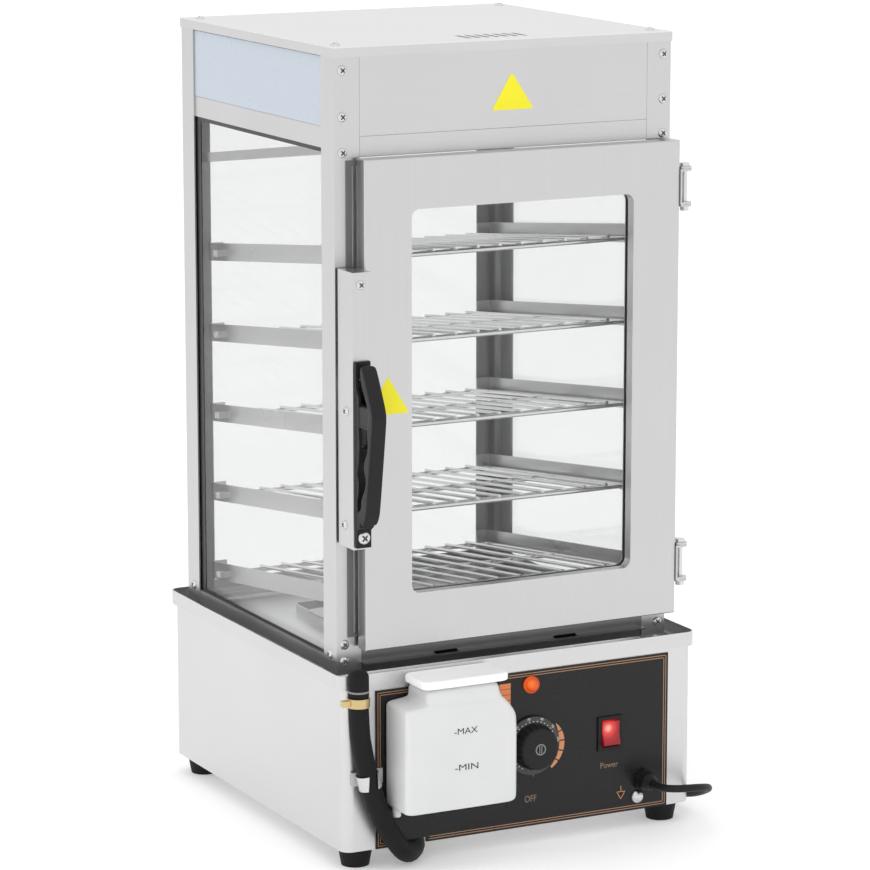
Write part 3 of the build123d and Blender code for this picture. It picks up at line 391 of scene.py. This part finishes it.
# painted shade: the left pane's seal is near black against the other seals' grey
toneBelow(sealPaintedLitAndShaded, 0, spot(-164, 0, 0).x, (0.008, 0.008, 0.008))
# painted shade on the lid's turned-down edge, darker than the lit top
toneBelow(steelLidPaintedLight, 2, spot(0, 0, 748.4).z, (0.62, 0.62, 0.62))
print("materials made")

floorMaterial, floorTree, floorShader = blank("floor")
floorTone = noiseOf(floorTree, 2, 2)
floorTree.links.new(tinted(floorTree, floorTone, (0.88, 0.88, 0.88), (0.9, 0.9, 0.9)),
                    floorShader.inputs["Base Color"])
floorShader.inputs["Roughness"].default_value = 0.9
floorShader.inputs["Emission Color"].default_value = (1, 1, 1, 1)
floorShader.inputs["Emission Strength"].default_value = 0.25
floorMesh = bpy.data.meshes.new("floor")
floorMesh.from_pydata([(-15, -15, -0.0002), (15, -15, -0.0002), (15, 25, -0.0002), (-15, 25, -0.0002)],
                      [], [(0, 1, 2, 3)])
floorMesh.materials.append(floorMaterial)
floorObject = bpy.data.objects.new("floor", floorMesh)
bpy.context.scene.collection.objects.link(floorObject)

# Pieces that keep their sheet-metal form and take a finish
finishes = {
    "corner_posts": steelPost, "lower_frame": steelSill, "upper_frame": steelFront,
    "header_front": steelFront, "header_rear": steelFront, "top_lid": steelLidPaintedLight, "drip_tray": steelTray,
    "latch_cover": steelPost, "door_frame": steelPost, "inner_ceiling": steelInnerPaintedShade,
    "steam_plate": steelInnerPaintedShade, "boiler_pan": steelInnerPaintedShade, "base_shell": steelBase,
    "base_bottom_plate": steelBase, "shelf_rails": steelInnerPaintedShade, "latch_strike": zinc,
    "latch_hook": zinc, "hinge_cabinet_brackets": steelPost, "hinge_door_brackets": steelPost,
    "hinge_pins": zinc, "control_panel": panelBlack, "switch_housing": plasticBlack,
    "thermostat_body": plasticBlack, "cable_gland": plasticBlack, "rubber_feet": rubberBlack,
    "glass_seals": sealPaintedLitAndShaded, "front_seal_strip": sealGrey, "door_gasket": sealGrey,
    "glass_left": glassClear, "glass_right": glassClear, "glass_rear": glassClear,
    "door_glass": glassClear, "light_panel_left": lightBlue, "light_panel_right": lightBlue,
    "header_lamp": lampWhite, "water_tank": tankWhite, "tank_lid": tankWhite, "pilot_lamp": lampLens,
    "switch_rocker": rockerLens, "earth_bolt": zinc, "hose_clamp": brass, "boiler_drain": brass,
    "water_feed_pipe": brass, "hose_clip": zinc, "heating_element": zinc, "drain_spout": plasticBlack,
    "cabinet_screws": zinc, "door_screws": zinc, "handle_base": plasticBlack,
    "handle_lever": plasticBlack, "thermostat_knob": plasticBlack, "power_plug": cableBlack,
    "power_cord": cableBlack, "cord_coil": cableBlack, "drain_hose": rubberBlack,
}
for i in range(5):
    finishes["shelf_%d" % (i + 1)] = wireChrome
for name, material in finishes.items():
    data = nodes[name].data
    data.materials.clear()
    data.materials.append(material)
for name, width in {"drip_tray": 0.0004, "top_lid": 0.0004, "header_front": 0.0004,
                    "corner_posts": 0.0004, "latch_cover": 0.0004, "handle_base": 0.001,
                    "switch_housing": 0.0008, "control_panel": 0.0003}.items():
    soften(nodes[name], width)
print("frame pieces finished")

# Mains lead: the free stretch, then the coil that puts the unseen length away behind
cord = {
    "radius": 3.6, "length": 1.76,
    "route": [(131, -222, 46.5), (131, -236, 46.5), (140, -250, 48), (157, -254, 48), (174, -247, 44.5),
              (187, -232, 38), (194.5, -211, 29), (197, -188, 20), (197.5, -163, 13), (197, -136, 8.2),
              (197.5, -104, 5.2), (196.5, -64, 4.0), (197.5, -16, 3.8), (196.5, 32, 3.9),
              (197, 80, 3.8), (196, 126, 4.3), (195.5, 168, 7.0), (194, 220.8, 11.5)],
    "coilMiddle": (146, 252), "coilOuter": 48, "pitch": 7.8, "turns": 2.25, "layer": 7.8, "floor": 3.7,
    "pointsPerTurn": 20,
}


def coilSpot(angle):
    first = 2 * math.pi * cord["turns"]
    step = cord["pitch"] / (2 * math.pi)
    inner = cord["coilOuter"] - step * first
    if angle <= first:
        radius, z = cord["coilOuter"] - step * angle, cord["floor"] + cord["layer"]
    elif angle <= first + math.pi:
        u = (angle - first) / math.pi
        radius = inner - step * math.pi * (u - u * u)
        z = cord["floor"] + cord["layer"] * (1 - u * u * (3 - 2 * u))
    else:
        radius, z = inner + step * (angle - first - math.pi), cord["floor"]
    x, y = cord["coilMiddle"]
    return (x + radius * math.cos(angle), y + radius * math.sin(angle), z)


def tube(name, points, radius, material, body):
    curve = bpy.data.curves.new(name, "CURVE")
    curve.dimensions = "3D"
    spline = curve.splines.new("NURBS")
    spline.points.add(len(points) - 1)
    for point, place in zip(spline.points, points):
        point.co = spot(*place).to_4d()
    spline.order_u = 3
    spline.use_endpoint_u = True
    spline.resolution_u = 8
    curve.bevel_depth = radius / 1000
    curve.bevel_resolution = 6
    curve.use_fill_caps = True
    curve.materials.append(material)
    return put(bpy.data.objects.new(name, curve), body)


coilTotal = 4 * math.pi * cord["turns"] + math.pi
coilCount = int(cord["pointsPerTurn"] * coilTotal / (2 * math.pi))
cordPlaces = cord["route"] + [coilSpot(coilTotal * i / coilCount) for i in range(coilCount + 1)]
endX, endY, endZ = cordPlaces[-1]
cordPlaces.append((endX, endY + 7.2, endZ))
mainsLead = tube("mainsLead", cordPlaces, cord["radius"], cableBlack, "cabinet")
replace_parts(mainsLead, "power_cord", "cord_coil")

# Drain hose from the tray's front left corner to the stub under the base
hose = {
    "radius": 9.5, "length": 0.237,
    "route": [(-174, -214.5, 170), (-174, -214.5, 138), (-169.5, -214.9, 111), (-164, -215.1, 88),
              (-157.5, -215.3, 66), (-148, -215.1, 44), (-138, -216.5, 27), (-127.5, -215, 15),
              (-116.5, -204.5, 10.6), (-104, -189, 10.3), (-95, -171, 10.5), (-95, -150.1, 10.5)],
}
drainHose = tube("drainHose", hose["route"], hose["radius"], rubberBlack, "cabinet")
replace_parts(drainHose, "drain_hose")
print("cords made")


def ringPiece(name, rings, body, material, smooth=True):
    bm = bmesh.new()
    loops = [[bm.verts.new(spot(*place)) for place in ring] for ring in rings]
    count = len(loops[0])
    for low, high in zip(loops, loops[1:]):
        for i in range(count):
            bm.faces.new((low[i], low[(i + 1) % count], high[(i + 1) % count], high[i]))
    bm.faces.new(loops[0])
    bm.faces.new(loops[-1])
    return meshPiece(name, bm, body, material, smooth)


def roundedRing(middle, half, corner, z, steps=6):
    ring = []
    for quadrant, (sx, sy) in enumerate(((1, 1), (-1, 1), (-1, -1), (1, -1))):
        for step in range(steps + 1):
            angle = math.radians(90 * quadrant + 90 * step / steps)
            ring.append((middle[0] + sx * (half[0] - corner) + corner * math.cos(angle),
                         middle[1] + sy * (half[1] - corner) + corner * math.sin(angle), z))
    return ring


def frontRing(x, z, radius, y, count=64, wave=None):
    ring = []
    for i in range(count):
        angle = 2 * math.pi * i / count
        reach = radius * (wave(angle) if wave else 1)
        ring.append((x + reach * math.cos(angle), y, z + reach * math.sin(angle)))
    return ring


# Thermostat knob with a numbered skirt
dial = {"x": 10, "z": 96, "dots": 23.4, "dotRadius": 0.55, "numbers": 26.1, "numberHeight": 2.3,
        "skirt": [(26.5, -205.2), (28, -205.6), (28, -207.2), (27.4, -207.9), (20, -208)],
        "ribs": 22, "ribDepth": 0.035, "markPlane": -222.1, "markRadii": (5.4, 4.3),
        "body": [(21.6, -207.9), (22.0, -209.5), (21.4, -213), (20.6, -217), (19.7, -220.6),
                 (18.6, -221.8), (16.5, -222.2), (7.5, -221.9)]}


def ribs(angle):
    return 1 - dial["ribDepth"] * max(0.0, math.cos(dial["ribs"] * angle)) ** 2


skirtRings = [frontRing(dial["x"], dial["z"], radius, y, 96) for radius, y in dial["skirt"]]
ringPiece("dialSkirt", skirtRings, "knob", skirtGrey)
knobRings = [frontRing(dial["x"], dial["z"], radius, y, 176, ribs if 1 <= i <= 4 else None)
             for i, (radius, y) in enumerate(dial["body"])]
knobBody = ringPiece("dialGrip", knobRings, "knob", plasticBlack)
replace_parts(knobBody, "thermostat_knob")
shaftRings = [frontRing(dial["x"], dial["z"], 3.0, y, 24) for y in (-206, -200, -188)]
ringPiece("dialShaft", shaftRings, "knob", zinc)


def lettering(name, body, words, place, height, material, width=None, spin=0.0):
    data = bpy.data.curves.new(name, "FONT")
    data.body = words
    data.size = height / 700
    data.extrude = 0.00003
    data.align_x = "CENTER"
    data.align_y = "CENTER"
    data.materials.append(material)
    text = bpy.data.objects.new(name, data)
    text.matrix_world = (Matrix.Translation(spot(*place)) @ Matrix.Rotation(spin, 4, "Y")
                         @ Matrix.Rotation(math.pi / 2, 4, "X"))
    bpy.context.scene.collection.objects.link(text)
    bpy.context.view_layer.update()
    if width:
        text.scale.x = width / 1000 / text.dimensions.x
    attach(text, body)
    return text


def flatPiece(name, outlines, body, material, y, thick=0.06):
    bm = bmesh.new()
    for outline in outlines:
        front = [bm.verts.new(spot(x, y - thick, z)) for x, z in outline]
        back = [bm.verts.new(spot(x, y, z)) for x, z in outline]
        bm.faces.new(front)
        bm.faces.new(list(reversed(back)))
        for i in range(len(outline)):
            j = (i + 1) % len(outline)
            bm.faces.new((front[i], back[i], back[j], front[j]))
    return meshPiece(name, bm, body, material, False)


def stroke(start, end, width):
    along = Vector((end[0] - start[0], end[1] - start[1])).normalized() * width / 2
    across = Vector((-along.y, along.x))
    a, b = Vector(start) - along, Vector(end) + along
    return [tuple(a + across), tuple(b + across), tuple(b - across), tuple(a - across)]


def disc(x, z, radius, count=12):
    return [(x + radius * math.cos(2 * math.pi * i / count), z + radius * math.sin(2 * math.pi * i / count))
            for i in range(count)]


markOuter, markInner = [disc(dial["x"], dial["z"], radius, 32) for radius in dial["markRadii"]]
markParts = [[markOuter[i], markOuter[(i + 1) % 32], markInner[(i + 1) % 32], markInner[i]]
             for i in range(32)]
markParts += [stroke((dial["x"] - 1.1, dial["z"] - 3.2), (dial["x"] - 1.1, dial["z"] + 3.2), 0.8),
              stroke((dial["x"] + 1.1, dial["z"] - 3.2), (dial["x"] + 1.1, dial["z"] + 3.2), 0.8)]
flatPiece("dialMark", markParts, "knob", greyInk, dial["markPlane"], 0.25)
dots = []
for i in range(31):
    angle = math.radians(240 - 10 * i)
    dots.append(disc(dial["x"] + dial["dots"] * math.cos(angle), dial["z"] + dial["dots"] * math.sin(angle),
                     dial["dotRadius"]))
flatPiece("dialDots", dots, "knob", whiteInk, -207.95)
for i, number in enumerate(("30", "40", "50", "60", "70", "80", "90", "100", "110")):
    angle = math.radians(225 - 31 * i)
    place = (dial["x"] + dial["numbers"] * math.cos(angle), -207.98,
             dial["z"] + dial["numbers"] * math.sin(angle))
    lettering("dialNumber" + number, "knob", number, place, dial["numberHeight"], whiteInk,
              spin=math.pi / 2 - angle)
print("knob made")

# Print on the control panel
border = {"left": -151.5, "right": 156.5, "bottom": 18, "top": 167.5, "insets": (2.4, 4.6), "width": 0.7,
          "plane": -204.02}
lines = []
for inset in border["insets"]:
    x0, x1 = border["left"] + inset, border["right"] - inset
    z0, z1 = border["bottom"] + inset, border["top"] - inset
    notch = (-136.5 - inset * 0.3, -97.5 + inset * 0.3)
    lines += [stroke((x0, z1), (x1, z1), border["width"]), stroke((x0, z0), (x0, z1), border["width"]),
              stroke((x1, z0), (x1, z1), border["width"]), stroke((x0, z0), (notch[0], z0), border["width"]),
              stroke((notch[1], z0), (x1, z0), border["width"])]
flatPiece("panelBorder", lines, "cabinet", copperInk, border["plane"])

# Heat scale beside the knob, and the small grid above it
crescent = {"inner": 31.0, "dip": 1.6, "depth": 4.6, "from": 34, "to": -51, "steps": 40}
inside, outside = [], []
for i in range(crescent["steps"] + 1):
    share = i / crescent["steps"]
    angle = math.radians(crescent["from"] + (crescent["to"] - crescent["from"]) * share)
    swell = math.sin(math.pi * share ** 0.85)
    near = crescent["inner"] - crescent["dip"] * swell
    far = near + 0.5 + 1.4 * share + crescent["depth"] * swell
    inside.append((dial["x"] + near * math.cos(angle), dial["z"] + near * math.sin(angle)))
    outside.append((dial["x"] + far * math.cos(angle), dial["z"] + far * math.sin(angle)))
pieces = [[inside[i], inside[i + 1], outside[i + 1], outside[i]] for i in range(crescent["steps"])
          if (i + 1) % 8]
flatPiece("heatCrescent", pieces, "cabinet", orangeInk, border["plane"])
patch = {"rows": (158, 152.5, 147, 141.5, 135), "left": -24, "right": -12.2, "gap": 0.4}
patchParts = [[(patch["left"], low + patch["gap"]), (patch["right"], low + patch["gap"]),
               (patch["right"], high), (patch["left"], high)]
              for high, low in zip(patch["rows"], patch["rows"][1:])]
flatPiece("panelPatch", patchParts, "cabinet", patchInk, border["plane"])
lettering("offWord", "cabinet", "OFF", (9.2, -204.08, 44), 6.4, bronzeInk, 12.5)
lettering("powerWord", "cabinet", "Power", (93.3, -204.08, 65.8), 5.6, bronzeInk, 19)
flatPiece("offTick", [stroke((13.4, 69.6), (12.0, 65.8), 0.7)], "cabinet", greyInk, border["plane"])
earth = {"x": 106.4, "top": 43.2, "middle": 38.0, "bottom": 30.8, "half": 4.3, "width": 0.65}
flatPiece("earthMark", [stroke((earth["x"], earth["top"]), (earth["x"], earth["middle"]), earth["width"]),
                        stroke((earth["x"] - earth["half"], earth["middle"]),
                               (earth["x"] + earth["half"], earth["middle"]), earth["width"]),
                        stroke((earth["x"] - earth["half"], earth["middle"]), (earth["x"], earth["bottom"]),
                               earth["width"]),
                        stroke((earth["x"] + earth["half"], earth["middle"]), (earth["x"], earth["bottom"]),
                               earth["width"])], "cabinet", orangeInk, border["plane"])
print("panel printed")

# Water tank and its lid
def boxRing(x0, x1, y0, y1, corners, z, steps=5):
    ring = []
    places = ((x1, y1, -1, -1), (x0, y1, 1, -1), (x0, y0, 1, 1), (x1, y0, -1, 1))
    for quadrant, ((x, y, sx, sy), corner) in enumerate(zip(places, corners)):
        for step in range(steps + 1):
            angle = math.radians(90 * quadrant + 90 * step / steps)
            ring.append((x + sx * corner + corner * math.cos(angle),
                         y + sy * corner + corner * math.sin(angle), z))
    return ring


tank = {"front": -248.95, "back": -204.6, "corners": (4, 3, 7, 10),
        "levels": [(58.0, -135, -33, 7), (58.2, -138, -30, 4), (59.4, -140.8, -27.2, 1.4),
                   (61.5, -141.7, -26.2, 0.3), (66, -142, -26, 0), (100, -142, -26, 0), (137, -142, -26, 0),
                   (142, -142, -27.3, 0), (148, -142, -31, 0), (153.4, -142, -35.6, 0),
                   (155.8, -141.6, -38, 0.2), (157.2, -139.6, -39.4, 0.5), (158.2, -134, -40.2, 0.9),
                   (159.2, -124, -41, 1.1), (160.6, -120.8, -41.8, 1.2), (163, -120, -43, 1.3),
                   (168, -120, -44, 1.3), (174, -120, -44.8, 1.3)]}
tankRings = [boxRing(x0, x1, tank["front"] + inset, tank["back"] - inset, tank["corners"], z)
             for z, x0, x1, inset in tank["levels"]]
tankShell = ringPiece("tankBottle", tankRings, "cabinet", tankWhite)
subdivide(tankShell)
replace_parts(tankShell, "water_tank")
cap = {"x": -80.5, "y": -226.9,
       "levels": [(174.3, 41, 19.5, 8), (174.35, 43.4, 21.4, 8), (175.2, 44.3, 22.1, 8), (176.4, 44.5, 22.2, 8),
                  (177.0, 43.9, 21.6, 8), (177.6, 44.5, 22.2, 8), (180.6, 44.4, 22.1, 8),
                  (181.7, 43.6, 21.4, 7.5), (182, 41, 19, 6), (181.5, 40, 18, 5.5), (181.4, 20, 8, 3)]}
lidRings = [roundedRing((cap["x"], cap["y"]), (halfX, halfY), corner, z)
            for z, halfX, halfY, corner in cap["levels"]]
lidShell = ringPiece("tankCap", lidRings, "lid", capPaintedGlow)
subdivide(lidShell)
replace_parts(lidShell, "tank_lid")


def upright(x, y, levels, count=32):
    return [[(x + r * math.cos(2 * math.pi * i / count), y + r * math.sin(2 * math.pi * i / count), z)
             for i in range(count)] for r, z in levels]


stub = {"x": -135, "y": -213.5, "levels": [(3.2, 49.4), (3.9, 50), (4, 51.4), (4, 59)]}
ringPiece("tankStub", upright(stub["x"], stub["y"], stub["levels"], 20), "cabinet", tankWhite)
for name, words, place in (("maxMark", "-MAX", (-82.4, -249.02, 132.4)),
                           ("minMark", "-MIN", (-81.3, -249.02, 98.4))):
    lettering(name, "cabinet", words, place, 5.8, blackInk, 24)

# Spout over the hose
spout = {"x": -174, "y": -214.5, "inletHeight": 178, "inletRadius": 5.1, "inletDepths": (-214, -206, -201.2),
         "levels": [(9.5, 168.4), (9.75, 169), (9.75, 185.4), (9.3, 188.2), (8.0, 190.3), (5.6, 191.6),
                    (2.4, 192)],
         "band": [(9.8, 171.9), (9.95, 172.1), (9.95, 173.5), (9.8, 173.7)]}
spoutShell = ringPiece("spoutElbow", upright(spout["x"], spout["y"], spout["levels"]), "cabinet", rubberBlack)
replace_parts(spoutShell, "drain_spout")
inletRings = [frontRing(spout["x"], spout["inletHeight"], spout["inletRadius"], y, 24)
              for y in spout["inletDepths"]]
ringPiece("spoutInlet", inletRings, "cabinet", rubberBlack)
ringPiece("spoutBand", upright(spout["x"], spout["y"], spout["band"]), "cabinet", greyInk)
print("tank made")

# Door handle: the lever is one long grip on a hub behind the cover
lever = {"left": -169.8, "right": -155.4,
         "stations": [(469.6, -214.0, -211.5), (467.5, -216.8, -210.3), (461, -220.6, -210.4),
                      (450, -226.5, -214.6), (439, -232.2, -222.6), (430, -236.6, -227.2),
                      (424, -237.2, -226.4), (412, -235.4, -223.2), (405, -234.3, -225.0),
                      (398.3, -233.3, -225.8), (393, -232.6, -224.6), (387.5, -231.7, -220.6),
                      (382.7, -230.9, -218.0), (377.4, -230.1, -217.5), (372, -229.2, -220.2),
                      (367.7, -228.6, -221.8), (361.1, -227.6, -221.0), (356, -226.8, -217.6),
                      (352.2, -226.1, -214.6), (346.3, -225.2, -211.6), (338.6, -223.8, -212.2),
                      (336, -223.2, -204.6), (333, -222.0, -203.6), (330.5, -221.0, -204.8),
                      (327.1, -218.6, -209.8), (325, -216.6, -212.6), (324.3, -215.6, -213.8)]}


def gripRing(z, front, back, x0, x1, corner=1.6, steps=3):
    depth = abs(back - front)
    r = min(corner, depth * 0.45)
    ring = []
    for quadrant, (cx, cy) in enumerate(((x1 - r, back - r), (x0 + r, back - r), (x0 + r, front + r),
                                         (x1 - r, front + r))):
        for step in range(steps + 1):
            angle = math.radians(90 * quadrant + 90 * step / steps)
            ring.append((cx + r * math.cos(angle), cy + r * math.sin(angle), z))
    return ring


leverRings = []
for i, (z, front, back) in enumerate(lever["stations"]):
    pull = 1.2 if i in (0, len(lever["stations"]) - 1) else 0
    leverRings.append(gripRing(z, front, back, lever["left"] + pull, lever["right"] - pull))
leverGrip = ringPiece("handleGrip", leverRings, "latch", plasticBlack)
subdivide(leverGrip)
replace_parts(leverGrip, "handle_lever")
arm = {"right": -159.3, "nook": 0.9,
       "stations": [(-229, -169.5, 414, 434), (-222, -169.5, 413, 434), (-206, -169.5, 413, 433),
                    (-205.8, -165.8, 413, 433), (-198, -165.8, 413, 433), (-193, -165.8, 416, 433.5),
                    (-186, -165.8, 416.5, 434), (-180, -165.8, 419, 431), (-178.6, -165.8, 422, 428)]}
armRings = []
for y, x0, low, high in arm["stations"]:
    x1, x2 = arm["right"], arm["right"] - arm["nook"]
    armRings.append([(x, y, z) for x, z in ((x0, low + 1), (x0 + 1, low), (x2, low), (x1, low + 1),
                                            (x1, high - 1), (x2, high), (x0 + 1, high), (x0, high - 1))])
ringPiece("handleArm", armRings, "latch", plasticBlack, smooth=False)
print("handle made")

# Screws with a crossed slot
screwForm = {"cells": 26, "height": 2.2, "slot": 0.12, "reach": 0.56, "depth": 0.9}


def addScrew(bm, place, outward, radius):
    out = Vector(outward)
    side = out.orthogonal().normalized()
    up = out.cross(side)
    n = screwForm["cells"]
    grid = []
    sunk = []
    for i in range(n + 1):
        row = []
        sunk.append([])
        for j in range(n + 1):
            u, v = 2 * i / n - 1, 2 * j / n - 1
            x, y = u * math.sqrt(1 - v * v / 2), v * math.sqrt(1 - u * u / 2)
            reach = math.hypot(x, y)
            height = screwForm["height"] * math.sqrt(max(0.0, 1 - reach ** 2.4))
            inSlot = (abs(x) < screwForm["slot"] and abs(y) < screwForm["reach"]) or (
                abs(y) < screwForm["slot"] and abs(x) < screwForm["reach"])
            if inSlot:
                height -= screwForm["depth"]
            onHead = spot(*place) + (side * x + up * y) * radius / 1000 + out * height / 1000
            row.append(bm.verts.new(onHead))
            sunk[-1].append(inSlot)
        grid.append(row)
    for i in range(n):
        for j in range(n):
            face = bm.faces.new((grid[i][j], grid[i + 1][j], grid[i + 1][j + 1], grid[i][j + 1]))
            face.material_index = int(sunk[i][j] or sunk[i + 1][j + 1])


screwPlaces = {"radius": 4.6, "footRadius": 5.0, "front": (728.5, 687.0, 655.0, 204.2, 188.6),
               "sides": (728.5, 687.0, 193.2), "lid": (-148, 148), "feet": (-182, 159)}
cabinetPlaces = []
for side in (-1, 1):
    for z in screwPlaces["front"]:
        cabinetPlaces.append(((side * 165, -168, z), (0, -1, 0), screwPlaces["radius"]))
    for z in screwPlaces["sides"]:
        if side == 1 or z < 200:
            cabinetPlaces.append(((side * 173, -154, z), (side, 0, 0), screwPlaces["radius"]))
            cabinetPlaces.append(((side * 173, 154, z), (side, 0, 0), screwPlaces["radius"]))
        cabinetPlaces.append(((side * 160, 168, z), (0, 1, 0), screwPlaces["radius"]))
    for y in screwPlaces["lid"]:
        cabinetPlaces.append(((side * 162, y, 749), (0, 0, 1), screwPlaces["radius"]))
    for y in screwPlaces["feet"]:
        cabinetPlaces.append(((side * 162, y, 6), (0, 0, -1), screwPlaces["footRadius"]))
doorPlaces = [((-163.5, -201, 540.7), (0, -1, 0), 4.4), ((-162.5, -204.5, 311), (0, -1, 0), 5.9),
              ((-171.5, -183, 320), (-1, 0, 0), 4.4), ((-171.5, -187, 425), (-1, 0, 0), 4.4)]
for name, body, node, places in (("cabinetScrewHeads", "cabinet", "cabinet_screws", cabinetPlaces),
                                 ("doorScrewHeads", "door", "door_screws", doorPlaces)):
    screwMesh = bmesh.new()
    for place, outward, radius in places:
        addScrew(screwMesh, place, outward, radius)
    screwHeads = meshPiece(name, screwMesh, body, zinc)
    # the slot faces take the painted shade
    screwHeads.data.materials.append(screwSlotShade)
    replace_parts(screwHeads, node)
bolt = {"x": 124, "z": 31, "stations": [(6.5, -204.0), (6.5, -204.9), (5.9, -206.4), (4.4, -207.6),
                                        (2.2, -208.3), (0.8, -208.4)]}
boltRings = [frontRing(bolt["x"], bolt["z"], radius, y, 32) for radius, y in bolt["stations"]]
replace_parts(ringPiece("earthScrew", boltRings, "cabinet", zinc), "earth_bolt")
print("screws made")


# Painted shade: black sheets behind the sill's two slots, standing in for the shade inside them
slotShade = {"low": 181.6, "high": 188.6, "plane": -163.8, "spans": ((-74, -48), (51.7, 77.7))}
for number, (x0, x1) in enumerate(slotShade["spans"]):
    outline = [(x0, slotShade["low"]), (x1, slotShade["low"]), (x1, slotShade["high"]), (x0, slotShade["high"])]
    flatPiece("slotShadeSheet%d" % (number + 1), [outline], "cabinet", slotShadeBlack, slotShade["plane"], 0.2)


# Plain warning-coloured triangles without print
def triangle(apex, left, right, corner=2.2):
    places = [Vector(apex), Vector(left), Vector(right)]
    outline = []
    for i in range(3):
        here, before, after = places[i], places[i - 1], places[(i + 1) % 3]
        a = here + (before - here).normalized() * corner
        b = here + (after - here).normalized() * corner
        for t in (0, 0.33, 0.67, 1):
            outline.append(tuple(a * (1 - t) ** 2 + here * 2 * t * (1 - t) + b * t ** 2))
    return outline


stickers = {"thick": 0.15, "header": ((6, 719), (-14.5, 685), (28.5, 685)),
            "door": ((-130, 453), (-152.0, 418.6), (-109, 418.6))}
flatPiece("headerTriangle", [triangle(*stickers["header"])], "cabinet", stickerYellow, -168.02, stickers["thick"])
flatPiece("doorTriangle", [triangle(*stickers["door"])], "door", stickerYellow, -188.02, stickers["thick"])
